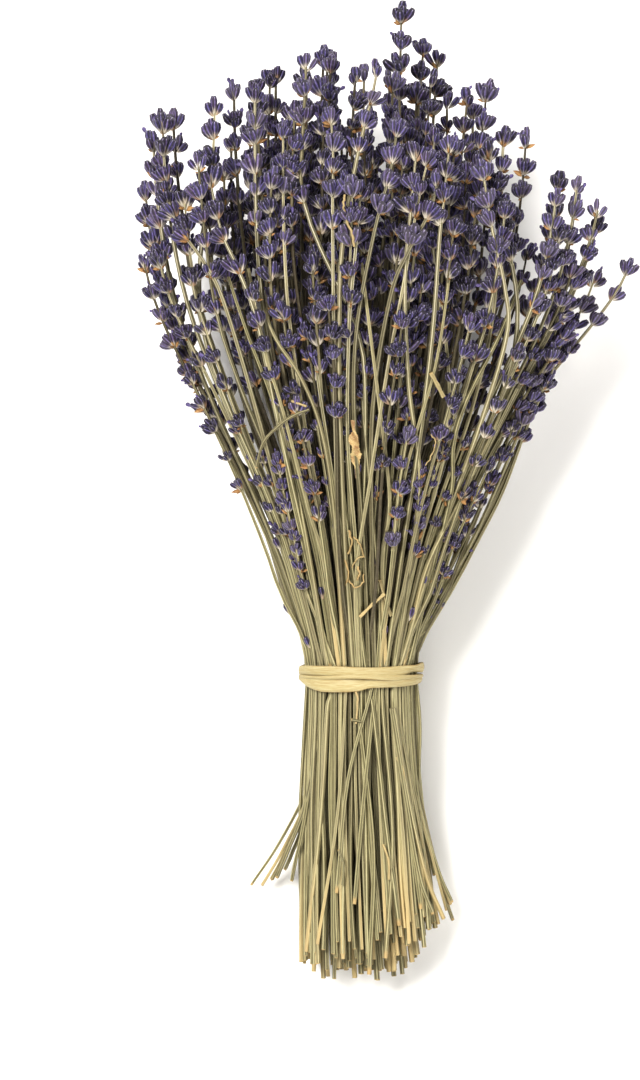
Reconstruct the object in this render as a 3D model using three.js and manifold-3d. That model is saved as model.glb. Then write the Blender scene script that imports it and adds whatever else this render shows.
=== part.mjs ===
// A bunch of dried lavender, laid down on a flat surface. Millimetres, +Z up. +Y runs from the cut ends,
// through the tie, to the flower heads, and the origin is under the middle of the bunch's box.
//
// Every spray is a stem with a flower spike on it. The sprays stand in five closed rows, one inside the
// other, and spread as a fan above the tie, so that no two of them cross. Spikes are joined in pairs where
// their whorls touch, and stems in arcs by a packed core that the tie hides.

import * as THREE from "three";
import { mergeVertices } from "three/addons/utils/BufferGeometryUtils.js";
import Module from "manifold-3d";

const wasm = await Module();
wasm.setup();

// ---------- driving dimensions, mm ----------

const SEED = 7;
const TIE_Y = -67;
const TIP_Y = 166; // the ordinary height of the dome of tips
const CUT_Y = -180; // the longest cut ends

// Half width and half depth of the outermost row of stems, from the cut ends to the tips.
const OUTLINE = [
  { y: -180, width: 25.5, depth: 17 },
  { y: -120, width: 22, depth: 15 },
  { y: TIE_Y, width: 19.6, depth: 13.4 },
  { y: -30, width: 29, depth: 20 },
  { y: 0, width: 41.5, depth: 28 },
  { y: 35, width: 59, depth: 38.5 },
  { y: 70, width: 74, depth: 47 },
  { y: 105, width: 81, depth: 51 },
  { y: 150, width: 84, depth: 52.5 },
  { y: 190, width: 85, depth: 53 },
];

// The middle line: it rises from the cut ends to the heads, because the bunch lies on both.
const AXIS_HEIGHT_AT_CUT = 13.1;
const AXIS_SLOPE = 0.141;
const AXIS_DRIFT = { tips: 5, cut: 4 }; // sideways from the tie, both to the right

// The rows, from the outermost in: half width and half depth as shares of the outermost, sprays in each,
// whorls on a spike, arcs of stems, and how far the higher tips of successive pairs stay below the dome.
const ROWS = [
  { name: "outer", width: 1, depth: 1, sprays: 30, whorls: 6, arcs: 4, drops: [0, 45] },
  { name: "second", width: 0.845, depth: 0.75, sprays: 24, whorls: 5, arcs: 3, drops: [0, 30] },
  { name: "third", width: 0.69, depth: 0.5, sprays: 18, whorls: 5, arcs: 2, drops: [0, 16] },
  { name: "fourth", width: 0.53, depth: 0.25, sprays: 12, whorls: 5, arcs: 2, drops: [0] },
  { name: "inner", width: 0.34, depth: 0, sprays: 4, whorls: 5, arcs: 1, drops: [0] },
];

const ROW_PHASE = -0.3; // the first spray's place on its row, in sprays from the right-hand end

const STEM_RADIUS = 1.15;
const STEM_BREAKS = [-74, -60, -30, 12]; // where a stem's straight lengths meet
const LAST_STEM_LENGTH = 10; // the shortest length above a break
const WHORL_RADIUS = 4.5;
const WHORL_LOBES = 4;
const SPIKE_AXIS_RADIUS = 0.9;
const WHORL_LEVELS = [5, 13, 21.5, 31, 41.5, 54]; // below the tip
const TOUCHING_DISTANCE = 6.9; // between two spikes whose whorls touch
const GAP = 0.3;
const CORE_HALF_LENGTH = 3.5; // hidden under the tie
const CORE_HALF_THICKNESS = 1.05;
const CORE_OVERHANG = 0.35; // past an arc's end stems, in sprays
const NOTCH_SHARE = 0.6; // how deep the notches between a whorl's lobes are
const WHORL_LENGTH = 5.5;
const WAIST_OVER_RIM = 1.5; // the least rise from a whorl's rim to the next one's foot
const TOP_WHORL_SHARE = 0.75;
const SPIKE_FOOT = 6; // from the lowest whorl's rim down to the stem's top

const DOME = { fall: 50, tilt: 17, roundness: 2.2 }; // the tips fall away outwards, and more on the right
const CUT_RISE = { mean: 12, tilt: 8 }; // the outermost stems are cut this much shorter, and more on the right
const CUT_SPREAD = 7;
const TIP_SPREAD = 6;
// Pairs that stand out: one above the dome and two to the sides.
const STANDING_OUT = [
  { row: "fourth", pair: 1, rise: 16, splay: 0 },
  { row: "outer", pair: 0, rise: -8, splay: 18 },
  { row: "outer", pair: 8, rise: -16, splay: 3 },
];
const SPLAY = 9; // how far the outermost tips may bend outwards
const SPLAY_FADE = 8; // the power of a row's width share that keeps the inner rows straight
const LOW_START = 22; // spikes whose lowest whorl is below this start outside the other stems
const LOW_OUTWARD = 4.6;
const SWAY = 1.6;
const LEAST_SPLAYED = -0.6; // sprays lower than this share of the half depth don't splay
const LEAST_HEIGHT = { stem: 0.2, spike: 3.3 }; // of a middle line over the surface
const SURFACE_SOFTNESS = 0.6;

const TIE_THICKNESS = 1.3;
const TIE_STRAND_WIDTH = 4.8;
const TIE_WAVE = 0.5;
const TIE_EASE = 0.4; // more room, because the tie's flats cut its round corners
const TIE_SEGMENTS = 26;
// The short length of the tie that crosses over both strands: degrees round the tie, and mm.
const CROSSING = { from: 118, to: 62, reach: 2.4, width: 3.6, thickness: 1.4, rise: 0.5, steps: 6 };

// A dried leaf curled along one stem on the upper side.
const LEAF = {
  row: "outer", spray: 8, y: 6, length: 21, width: 5, foot: 0.12, thickness: 0.9, cup: 6, lift: 4, curl: 1.1, steps: 7,
};

const STRAW = { color: 0x9a9268, roughness: 0.8, metalness: 0 };
const VIOLET = { color: 0x37304f, roughness: 0.9, metalness: 0 };
const RAFFIA = { color: 0xdcca9a, roughness: 0.75, metalness: 0 };
const OCHRE = { color: 0xb07f3c, roughness: 0.8, metalness: 0 };

// ---------- the bunch's outline ----------

function seededRandom(seed) {
  let state = seed >>> 0;
  return () => {
    state = (state + 0x6d2b79f5) >>> 0;
    let mixed = Math.imul(state ^ (state >>> 15), state | 1);
    mixed ^= mixed + Math.imul(mixed ^ (mixed >>> 7), mixed | 61);
    return ((mixed ^ (mixed >>> 14)) >>> 0) / 4294967296;
  };
}

const smoothstep = THREE.MathUtils.smoothstep;

// The outline's slope at one of its rows, for a smooth curve through all of them, level at the tie.
function outlineSlope(index, key) {
  const before = OUTLINE[Math.max(index - 1, 0)];
  const after = OUTLINE[Math.min(index + 1, OUTLINE.length - 1)];
  return before.y < TIE_Y && after.y > TIE_Y ? 0 : (after[key] - before[key]) / (after.y - before.y);
}

function outlineAt(y, key) {
  const last = OUTLINE.length - 2;
  const index = Math.min(Math.max(OUTLINE.findLastIndex((row) => row.y <= y), 0), last);
  const [from, to] = [OUTLINE[index], OUTLINE[index + 1]];
  const length = to.y - from.y;
  const t = (y - from.y) / length;
  const rise = outlineSlope(index, key) * length;
  const arrive = outlineSlope(index + 1, key) * length;
  const change = to[key] - from[key];
  return from[key] + t * (rise + t * (3 * change - 2 * rise - arrive + t * (rise + arrive - 2 * change)));
}

function axisAt(y) {
  const above = Math.max(0, y - TIE_Y) / (TIP_Y - TIE_Y);
  const below = Math.max(0, TIE_Y - y) / (TIE_Y - CUT_Y);
  return {
    x: AXIS_DRIFT.tips * above ** 2 + AXIS_DRIFT.cut * below ** 2,
    z: AXIS_HEIGHT_AT_CUT + AXIS_SLOPE * (y - CUT_Y),
  };
}

// A point of a row at a share of its way round, as shares of the outermost row's half width and depth.
// Equal shares are equal lengths at the heads' widest section.
const ROUND_STEPS = 720;

function wayRound(row) {
  const { width, depth } = OUTLINE[OUTLINE.length - 3];
  const points = [];
  for (let step = 0; step <= ROUND_STEPS; step += 1) {
    const angle = (2 * Math.PI * step) / ROUND_STEPS;
    points.push({ u: row.width * Math.cos(angle), v: row.depth * Math.sin(angle) });
  }
  const lengths = [0];
  for (let step = 1; step <= ROUND_STEPS; step += 1) {
    const du = (points[step].u - points[step - 1].u) * width;
    const dv = (points[step].v - points[step - 1].v) * depth;
    lengths.push(lengths[step - 1] + Math.hypot(du, dv));
  }
  return { points, lengths };
}

function pointRound(row, way, share) {
  if (row.depth === 0) {
    return { u: row.width * (2 * share - 1), v: 0 };
  }
  const wanted = THREE.MathUtils.euclideanModulo(share, 1) * way.lengths[ROUND_STEPS];
  const next = Math.max(1, way.lengths.findIndex((length) => length >= wanted));
  const t = (wanted - way.lengths[next - 1]) / (way.lengths[next] - way.lengths[next - 1]);
  const [from, to] = [way.points[next - 1], way.points[next]];
  return { u: THREE.MathUtils.lerp(from.u, to.u, t), v: THREE.MathUtils.lerp(from.v, to.v, t) };
}

// ---------- the sprays ----------

// The dome of tips: high in the middle and on the left, lower on the right.
function domeAt(u, v) {
  const out = Math.hypot(u, v);
  const side = out > 0 ? u / out : 0;
  return TIP_Y - (DOME.fall + DOME.tilt * side) * out ** DOME.roundness;
}

function cutAt(u, v) {
  const out = Math.hypot(u, v);
  return CUT_Y + (CUT_RISE.mean * out + CUT_RISE.tilt * u) * out ** 2;
}

// A row's sprays, made in pairs. The lowest whorl of a pair's higher spike is level with the second whorl
// of the lower one, and every second pair has its lower spike first.
function makeRow(row, random) {
  const sprays = [];
  const levels = WHORL_LEVELS.slice(0, row.whorls);
  const phase = row.depth === 0 ? 0.5 : ROW_PHASE;
  for (let pair = 0; pair < row.sprays / 2; pair += 1) {
    const extra = STANDING_OUT.find((one) => one.row === row.name && one.pair === pair);
    const sites = [0, 1].map((place) => pointRound(row, row.way, (2 * pair + place + phase) / row.sprays));
    const drop = row.drops[pair % row.drops.length];
    const high = domeAt(sites[0].u, sites[0].v) + TIP_SPREAD * (random() - 0.5) - drop + (extra?.rise ?? 0);
    const low = high - levels.at(-1) + levels[1];
    const tips = pair % 2 === 0 ? [high, low] : [low, high];
    const splay = extra?.splay ?? SPLAY * random() ** 2 * row.width ** SPLAY_FADE * (1 - drop / 100);
    sites.forEach((site, place) => {
      const tip = tips[place];
      const isLow = tip - levels.at(-1) < LOW_START;
      sprays.push({
        ...site,
        cut: cutAt(site.u, site.v) + CUT_SPREAD * random(),
        tip,
        levels: isLow && tip === low ? levels.slice(0, -1) : levels,
        splay: { out: site.v > LEAST_SPLAYED ? splay : 0, full: high },
        outward: isLow ? LOW_OUTWARD : 0,
        sway: { x: SWAY * (random() - 0.5), z: SWAY * (random() - 0.5) },
        lean: { x: 0, z: 0, from: 0, to: 1 },
        turn: 2 * Math.PI * random(),
      });
    });
  }
  return sprays;
}

// How high a spray's middle line stays above the surface: its own thickness, so that it is pressed up there.
function liftOffSurface(y, z) {
  const least = THREE.MathUtils.lerp(LEAST_HEIGHT.stem, LEAST_HEIGHT.spike, smoothstep(y, -100, 40));
  const over = z - least;
  return least + (over + Math.hypot(over, SURFACE_SOFTNESS)) / 2;
}

// The middle of a spray's stem or spike at a level of the bunch.
function pointAt(spray, y) {
  const axis = axisAt(y);
  const direction = new THREE.Vector2(spray.u, spray.v).normalize();
  const low = spray.outward * smoothstep(y, TIE_Y + 7, TIE_Y + 35);
  const high = spray.splay.out * smoothstep(y, 0, spray.splay.full) ** 2;
  const swaying = smoothstep(y, 0, 110);
  const leaning = smoothstep(y, spray.lean.from, spray.lean.to);
  return new THREE.Vector3(
    axis.x + spray.u * outlineAt(y, "width") + (low + high) * direction.x +
      spray.sway.x * swaying + spray.lean.x * leaning,
    y,
    liftOffSurface(y, axis.z + spray.v * outlineAt(y, "depth") + (low + high) * direction.y +
      spray.sway.z * swaying + spray.lean.z * leaning),
  );
}

// Two neighbours lean towards each other until their level whorls touch.
function joinPair(first, second) {
  const [high, low] = first.tip >= second.tip ? [first, second] : [second, first];
  const highLevel = high.levels.length - 1;
  const lowLevel = 1;
  const y = low.tip - low.levels[lowLevel];
  const [from, to] = [pointAt(high, y), pointAt(low, y)];
  const distance = Math.hypot(to.x - from.x, to.z - from.z);
  const share = Math.max(0, distance - TOUCHING_DISTANCE) / (2 * distance);
  const range = { from: y - 70, to: y };
  high.lean = { x: (to.x - from.x) * share, z: (to.z - from.z) * share, ...range };
  low.lean = { x: -high.lean.x, z: -high.lean.z, ...range };
  const facing = Math.atan2(to.z - from.z, to.x - from.x);
  const step = Math.PI / WHORL_LOBES;
  high.turn = highLevel * step - facing;
  low.turn = lowLevel * step - facing;
}

// ---------- solids ----------

function toManifold(geometry) {
  geometry.deleteAttribute("normal");
  geometry.deleteAttribute("uv");
  const merged = mergeVertices(geometry, 1e-4);
  return new wasm.Manifold(new wasm.Mesh({
    numProp: 3,
    vertProperties: merged.attributes.position.array,
    triVerts: merged.index.array,
  }));
}

function toGeometry(manifold) {
  const mesh = manifold.getMesh();
  const geometry = new THREE.BufferGeometry();
  geometry.setAttribute("position", new THREE.BufferAttribute(mesh.vertProperties, 3));
  geometry.setIndex(new THREE.BufferAttribute(mesh.triVerts, 1));
  geometry.computeVertexNormals();
  return geometry;
}

function join(manifolds) {
  return manifolds.reduce((joined, manifold) => joined.add(manifold));
}

// A stem's middle line, broken at the same levels on every stem.
class StemCurve extends THREE.Curve {
  constructor(spray, top) {
    super();
    const levels = [spray.cut, ...STEM_BREAKS.filter((y) => y < top - LAST_STEM_LENGTH), top];
    this.points = levels.map((y) => pointAt(spray, y));
  }

  getPoint(t) {
    const place = t * (this.points.length - 1);
    const index = Math.min(Math.floor(place), this.points.length - 2);
    return this.points[index].clone().lerp(this.points[index + 1], place - index);
  }

  getPointAt(share) {
    return this.getPoint(share);
  }

  getTangentAt(share) {
    return this.getTangent(share);
  }
}

function regularShape(sides, radius) {
  const shape = new THREE.Shape();
  for (let side = 0; side < sides; side += 1) {
    const angle = (2 * Math.PI * side) / sides;
    const [x, y] = [radius * Math.cos(angle), radius * Math.sin(angle)];
    side === 0 ? shape.moveTo(x, y) : shape.lineTo(x, y);
  }
  shape.closePath();
  return shape;
}

function stemSolid(spray) {
  const top = spray.tip - spray.levels.at(-1) - SPIKE_FOOT - GAP;
  const path = new StemCurve(spray, top);
  const steps = path.points.length - 1;
  const shape = regularShape(3, STEM_RADIUS);
  return toManifold(new THREE.ExtrudeGeometry(shape, { steps, extrudePath: path, bevelEnabled: false }));
}

// A ring of points round a spray, square to it. Every second point may be drawn in, between lobes.
function ringAround(spray, y, turn, radii) {
  const centre = pointAt(spray, y);
  const along = pointAt(spray, y + 1).sub(pointAt(spray, y - 1)).normalize();
  const across = new THREE.Vector3(1, 0, 0).cross(along).normalize();
  const side = along.clone().cross(across);
  const count = WHORL_LOBES * radii.length;
  return Array.from({ length: count }, (_, index) => {
    const angle = turn + (2 * Math.PI * index) / count;
    const radius = radii[index % radii.length];
    return centre.clone()
      .addScaledVector(side, radius * Math.cos(angle))
      .addScaledVector(across, -radius * Math.sin(angle));
  });
}

// A spike: whorls of lobed cups threaded on a thin axis, ending in a point.
function spikeSolid(spray) {
  const rings = [];
  const foot = spray.tip - spray.levels.at(-1) - SPIKE_FOOT;
  const step = Math.PI / WHORL_LOBES;
  rings.push(ringAround(spray, foot, spray.turn - (spray.levels.length - 1) * step, [SPIKE_AXIS_RADIUS]));
  for (let whorl = spray.levels.length - 1; whorl >= 0; whorl -= 1) {
    const rim = spray.tip - spray.levels[whorl];
    const size = WHORL_RADIUS * (whorl === 0 ? TOP_WHORL_SHARE : 1);
    const turn = spray.turn - whorl * step;
    rings.push(ringAround(spray, rim, turn, [size, size * NOTCH_SHARE]));
    if (whorl > 0) {
      const waist = spray.tip - spray.levels[whorl - 1] - WHORL_LENGTH;
      rings.push(ringAround(spray, Math.max(waist, rim + WAIST_OVER_RIM), turn + step, [SPIKE_AXIS_RADIUS]));
    }
  }
  return toManifold(loft(rings, pointAt(spray, spray.tip)));
}

// Faces between rings, where a ring has as many points as the next, half or twice as many.
function loft(rings, apex) {
  const points = rings.flat();
  const faces = [];
  const starts = [];
  rings.reduce((start, ring) => {
    starts.push(start);
    return start + ring.length;
  }, 0);
  for (let level = 0; level + 1 < rings.length; level += 1) {
    const [below, above] = [rings[level].length, rings[level + 1].length];
    const [first, next] = [starts[level], starts[level + 1]];
    const steps = Math.max(below, above);
    for (let step = 0; step < steps; step += 1) {
      const low = first + Math.round((step * below) / steps - 0.01) % below;
      const lowNext = first + Math.round(((step + 1) * below) / steps - 0.01) % below;
      const high = next + Math.round((step * above) / steps - 0.01) % above;
      const highNext = next + Math.round(((step + 1) * above) / steps - 0.01) % above;
      if (low !== lowNext) {
        faces.push(low, lowNext, high);
      }
      if (high !== highNext) {
        faces.push(lowNext, highNext, high);
      }
    }
  }
  const last = starts.at(-1);
  const count = rings.at(-1).length;
  points.push(apex);
  for (let step = 0; step < count; step += 1) {
    faces.push(last + step, last + ((step + 1) % count), points.length - 1);
  }
  for (let step = 1; step + 1 < rings[0].length; step += 1) {
    faces.push(0, step + 1, step);
  }
  const geometry = new THREE.BufferGeometry().setFromPoints(points);
  geometry.setIndex(faces);
  return geometry;
}

// The packed core that joins an arc of stems under the tie.
function coreSolid(row, from, to) {
  const section = (share) => {
    const { u, v } = pointRound(row, row.way, share);
    return new THREE.Vector2(u * outlineAt(TIE_Y, "width"), v * outlineAt(TIE_Y, "depth"));
  };
  const steps = row.depth === 0 ? 1 : Math.max(3, Math.round((to - from) * 18));
  const [outside, inside] = [[], []];
  for (let step = 0; step <= steps; step += 1) {
    const share = THREE.MathUtils.lerp(from, to, step / steps);
    const point = section(share);
    const along = section(share + 0.002).sub(section(share - 0.002)).normalize();
    const outward = new THREE.Vector2(along.y, -along.x).multiplyScalar(CORE_HALF_THICKNESS);
    outside.push(point.clone().add(outward));
    inside.unshift(point.clone().sub(outward));
  }
  const shape = new THREE.Shape([...outside, ...inside]);
  const geometry = new THREE.ExtrudeGeometry(shape, { depth: 2 * CORE_HALF_LENGTH, bevelEnabled: false });
  geometry.rotateX(Math.PI / 2);
  geometry.translate(0, TIE_Y + CORE_HALF_LENGTH, 0);
  return toManifold(alongAxis(geometry));
}

// Moves a shape made round the Y line onto the bunch's rising middle line.
function alongAxis(geometry) {
  const positions = geometry.attributes.position;
  for (let index = 0; index < positions.count; index += 1) {
    const axis = axisAt(positions.getY(index));
    positions.setX(index, positions.getX(index) + axis.x);
    positions.setZ(index, positions.getZ(index) + axis.z);
  }
  return geometry;
}

// Moves a point on the tie: an angle round the stems, a level along them and a height off them.
function onTie(angle, along, height) {
  const y = TIE_Y + along;
  const axis = axisAt(y);
  const out = STEM_RADIUS + GAP + TIE_EASE + height;
  return [
    axis.x + (outlineAt(y, "width") + out) * Math.cos(angle),
    y,
    axis.z + (outlineAt(y, "depth") + out) * Math.sin(angle),
  ];
}

// The tie's two flat strands side by side, with a groove between them. It waves a little on its way round.
function bandSolid() {
  const [half, thickness] = [TIE_STRAND_WIDTH, TIE_THICKNESS];
  const profile = [
    [0, -half], [thickness, 0.4 - half], [thickness, -0.4], [thickness / 2, 0],
    [thickness, 0.4], [thickness, half - 0.4], [0, half], [0, -half],
  ].map(([height, along]) => new THREE.Vector2(1 + height, along));
  const geometry = new THREE.LatheGeometry(profile, TIE_SEGMENTS);
  const positions = geometry.attributes.position;
  for (let index = 0; index < positions.count; index += 1) {
    const [x, y, z] = [positions.getX(index), positions.getY(index), positions.getZ(index)];
    const angle = Math.atan2(z, x);
    const wave = TIE_WAVE * Math.sin(2 * angle + 1);
    positions.setXYZ(index, ...onTie(angle, y + wave, Math.hypot(x, z) - 1));
  }
  return toManifold(geometry);
}

// The short length that crosses from one strand to the other, on the upper side.
function crossingSolid() {
  const geometry = new THREE.BoxGeometry(1, CROSSING.width, CROSSING.thickness, CROSSING.steps, 1, 1);
  const positions = geometry.attributes.position;
  for (let index = 0; index < positions.count; index += 1) {
    const share = positions.getX(index) + 0.5;
    const angle = THREE.MathUtils.degToRad(THREE.MathUtils.lerp(CROSSING.from, CROSSING.to, share));
    const along = CROSSING.reach * (2 * smoothstep(share, 0, 1) - 1) + positions.getY(index);
    const height = TIE_THICKNESS + positions.getZ(index) + CROSSING.rise * Math.sin(Math.PI * share);
    positions.setXYZ(index, ...onTie(angle, along, height));
  }
  return toManifold(geometry);
}

// A blade with a narrow foot by its stem. It lifts off and curls over towards its tip.
function leafSolid(spray) {
  const geometry = new THREE.BoxGeometry(1, 1, 1, 2, LEAF.steps, 1);
  const outward = new THREE.Vector3(spray.u, 0, spray.v).normalize();
  const across = new THREE.Vector3(0, 1, 0).cross(outward);
  const positions = geometry.attributes.position;
  for (let index = 0; index < positions.count; index += 1) {
    const share = positions.getY(index) + 0.5;
    const swelling = Math.sin(Math.PI * THREE.MathUtils.lerp(0.04, 0.96, share));
    const half = LEAF.width * THREE.MathUtils.lerp(LEAF.foot, 1, swelling);
    const side = positions.getX(index) * half;
    const turn = LEAF.curl * share * share;
    const cupped = ((2 * positions.getX(index)) ** 2 * half) / LEAF.cup;
    const height = positions.getZ(index) * LEAF.thickness + cupped;
    const foot = STEM_RADIUS + GAP + LEAF.thickness / 2 + LEAF.lift * share * share;
    const point = pointAt(spray, LEAF.y + LEAF.length * share)
      .addScaledVector(outward, foot + height * Math.cos(turn) + side * Math.sin(turn))
      .addScaledVector(across, side * Math.cos(turn) - height * Math.sin(turn));
    positions.setXYZ(index, ...point);
  }
  return toManifold(geometry);
}

// ---------- the assembly ----------

const random = seededRandom(SEED);
const rows = ROWS.map((row) => ({ ...row, way: wayRound(row) }));
rows.forEach((row) => {
  row.arcEnds = Array.from({ length: row.arcs + 1 }, (_, arc) => Math.round((arc * row.sprays) / row.arcs));
  row.sprays = makeRow(row, random);
  for (let index = 0; index < row.sprays.length; index += 2) {
    joinPair(row.sprays[index], row.sprays[index + 1]);
  }
});

const bunch = new THREE.Group();

function addPiece(name, manifold, look) {
  const mesh = new THREE.Mesh(toGeometry(manifold), new THREE.MeshStandardMaterial(look));
  mesh.name = name;
  bunch.add(mesh);
}

// Everything below the surface that the bunch lies on is flattened away.
const surface = new THREE.BoxGeometry(400, 500, 50).translate(0, 0, -25);
const underSurface = toManifold(surface);

function aboveSurface(manifold) {
  return manifold.subtract(underSurface);
}

function addStems(row) {
  for (let arc = 0; arc < row.arcs; arc += 1) {
    const [first, end] = [row.arcEnds[arc], row.arcEnds[arc + 1]];
    const phase = row.depth === 0 ? 0.5 : ROW_PHASE;
    const [from, to] = [first + phase - CORE_OVERHANG, end - 1 + phase + CORE_OVERHANG];
    const core = coreSolid(row, from / row.sprays.length, to / row.sprays.length);
    const stems = row.sprays.slice(first, end).map(stemSolid);
    addPiece(`stems_${row.name}_${arc + 1}`, aboveSurface(join([core, ...stems])), STRAW);
  }
}

function addSpikes(row) {
  for (let index = 0; index < row.sprays.length; index += 2) {
    const pair = row.sprays.slice(index, index + 2).map(spikeSolid);
    const number = String(index / 2 + 1).padStart(2, "0");
    addPiece(`spikes_${row.name}_${number}`, aboveSurface(join(pair)), VIOLET);
  }
}

rows.forEach(addStems);
rows.forEach(addSpikes);
addPiece("tie", join([bandSolid(), crossingSolid()]), RAFFIA);

const leafSpray = rows.find((row) => row.name === LEAF.row).sprays[LEAF.spray];
addPiece("dried_leaf", leafSolid(leafSpray), OCHRE);

const middle = new THREE.Box3().setFromObject(bunch).getCenter(new THREE.Vector3());
bunch.position.set(-middle.x, -middle.y, 0);

export default bunch;
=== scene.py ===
"""A bunch of dried lavender that lies on a pale floor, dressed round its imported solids.

The same seeded plan of sprays as in the part's source places every stem and spike, so each fine
piece lies where its solid does. Sizes in the classes are millimetres, and meshes are metres.
"""

import logging
import math
from dataclasses import dataclass, field
from enum import Enum
from functools import partial
from typing import Any, Callable, Optional

import bmesh
import bpy
import numpy as np
from bpy.types import Material, Mesh, Node, NodeSocket, NodeTree, Object
from mathutils import Matrix, Vector


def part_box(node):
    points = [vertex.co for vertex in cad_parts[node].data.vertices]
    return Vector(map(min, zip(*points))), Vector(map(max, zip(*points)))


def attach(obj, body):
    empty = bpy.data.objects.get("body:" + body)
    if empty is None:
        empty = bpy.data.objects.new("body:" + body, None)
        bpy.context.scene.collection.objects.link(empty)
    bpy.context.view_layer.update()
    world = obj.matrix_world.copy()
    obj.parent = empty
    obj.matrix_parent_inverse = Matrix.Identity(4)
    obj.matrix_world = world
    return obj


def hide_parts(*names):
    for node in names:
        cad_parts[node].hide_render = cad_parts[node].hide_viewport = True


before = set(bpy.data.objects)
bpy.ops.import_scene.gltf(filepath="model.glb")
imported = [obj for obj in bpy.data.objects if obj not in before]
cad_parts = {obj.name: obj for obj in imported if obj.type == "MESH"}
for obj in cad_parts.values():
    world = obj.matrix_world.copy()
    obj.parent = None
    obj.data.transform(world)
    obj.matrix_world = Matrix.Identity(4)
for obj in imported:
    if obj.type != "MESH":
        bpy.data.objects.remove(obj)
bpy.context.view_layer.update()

log = logging.getLogger("lavender")

MM = 0.001
BODY = "root"
FLOOR_GAP = 0.05
# A stalk's tint holds its hue in whole steps, and in the finer part how light it is: a low finer part paints shade on
# the stalk.
HUES = 7
HUE_STEPS = 7.3


class Slot(Enum):
    """The record's material slots."""

    STEM = "stem"
    FLOWER = "flower"
    TIE = "tie"
    LEAF = "leaf"


class Part(Enum):
    """What a point of a sprig's guide mesh stands for."""

    STALK = 0
    CALYX = 1
    BRACT = 2
    PETAL = 3


# ---------------------------------------------------------------- node helpers


class NodeGraph:
    """Adds nodes to a tree and links them by socket."""

    def __init__(self, tree: NodeTree) -> None:
        """Keeps the shader or geometry tree to add to."""
        self.tree = tree

    def add(self, kind: str, inputs: Optional[dict] = None, **settings: Any) -> Node:
        """Adds a node.

        Args:
            kind: The node's type.
            inputs: Values or sockets by input name or index.
            **settings: The node's own properties.

        Returns:
            The new node.
        """
        node = self.tree.nodes.new(kind)
        for name, value in settings.items():
            setattr(node, name, value)
        for key, value in (inputs or {}).items():
            self.put(node.inputs[key], value)
        return node

    def put(self, socket: NodeSocket, value: Any) -> None:
        """Links an input to another socket, or sets its value.

        Args:
            socket: The input.
            value: The other socket, or the value.
        """
        if isinstance(value, NodeSocket):
            self.tree.links.new(value, socket)
        else:
            socket.default_value = value

    def math(self, operation: str, first: Any, second: Any = 0.0) -> NodeSocket:
        """Adds a Math node."""
        return self.add("ShaderNodeMath", {0: first, 1: second}, operation=operation).outputs[0]

    def times(self, *factors: Any) -> NodeSocket:
        """Multiplies values and sockets with one another.

        Args:
            *factors: The values and sockets.

        Returns:
            The product's socket, or the only factor.
        """
        product = factors[0]
        for factor in factors[1:]:
            product = self.math("MULTIPLY", product, factor)
        return product

    def fraction(self, value: Any, speed: float) -> NodeSocket:
        """Makes a second value from 0 to 1 out of the finer part of a first."""
        return self.math("FRACT", self.times(value, speed))

    def join(self, x: Any, y: Any, z: Any) -> NodeSocket:
        """Makes a vector of three values."""
        return self.add("ShaderNodeCombineXYZ", {0: x, 1: y, 2: z}).outputs[0]

    def mix(self, share: Any, first: Any, second: Any) -> NodeSocket:
        """Mixes two colours; the share says how much of the second shows."""
        return self.add("ShaderNodeMix", {0: share, 6: first, 7: second}, data_type="RGBA").outputs[2]

    def paint(self, base: Any, colour: str, *masks: Any) -> NodeSocket:
        """Paints a hex colour over another, as far as the product of the masks lets it show."""
        return self.mix(self.times(*masks), base, tint(colour))

    def span(self, value: Any, low: float, high: float, start: float = 0.0, end: float = 1.0) -> NodeSocket:
        """Maps a range of a value smoothly onto another range.

        Args:
            value: The value's socket.
            low: Where the range starts.
            high: Where it ends.
            start: The result at the start.
            end: The result at the end.

        Returns:
            The mapped value's socket.
        """
        inputs = {0: value, 1: low, 2: high, 3: start, 4: end}
        return self.add("ShaderNodeMapRange", inputs, interpolation_type="SMOOTHSTEP").outputs[0]

    def noise(self, place: NodeSocket, scale: float, detail: float, seed: Any = None) -> NodeSocket:
        """Adds a noise texture.

        Args:
            place: Where it is read.
            scale: How fine it is.
            detail: How many finer layers it has.
            seed: A value that changes the pattern, or None.

        Returns:
            The noise value's socket.
        """
        inputs = {"Vector": place, "Scale": scale, "Detail": detail}
        if seed is None:
            return self.add("ShaderNodeTexNoise", inputs).outputs[0]
        return self.add("ShaderNodeTexNoise", {**inputs, "W": seed}, noise_dimensions="4D").outputs[0]


def tint(hex_code: str) -> tuple:
    """Turns an sRGB hex colour into Blender's linear values."""
    values = [int(hex_code[i : i + 2], 16) / 255 for i in (0, 2, 4)]
    return tuple(v / 12.92 if v <= 0.04045 else ((v + 0.055) / 1.055) ** 2.4 for v in values) + (1.0,)


# ---------------------------------------------------------------- shared effects


def start_group(name: str, sockets: tuple) -> tuple:
    """Starts a shader node group.

    Args:
        name: The group's name.
        sockets: Rows of name, "INPUT" or "OUTPUT", kind and, where it has one, the ordinary value.

    Returns:
        A NodeGraph on it, the group's input node and its output node.
    """
    tree = bpy.data.node_groups.new(name, "ShaderNodeTree")
    for title, way, kind, *ordinary in sockets:
        socket = tree.interface.new_socket(title, in_out=way, socket_type=f"NodeSocket{kind}")
        if ordinary:
            socket.default_value = ordinary[0]
    graph = NodeGraph(tree)
    return graph, graph.add("NodeGroupInput"), graph.add("NodeGroupOutput")


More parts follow.
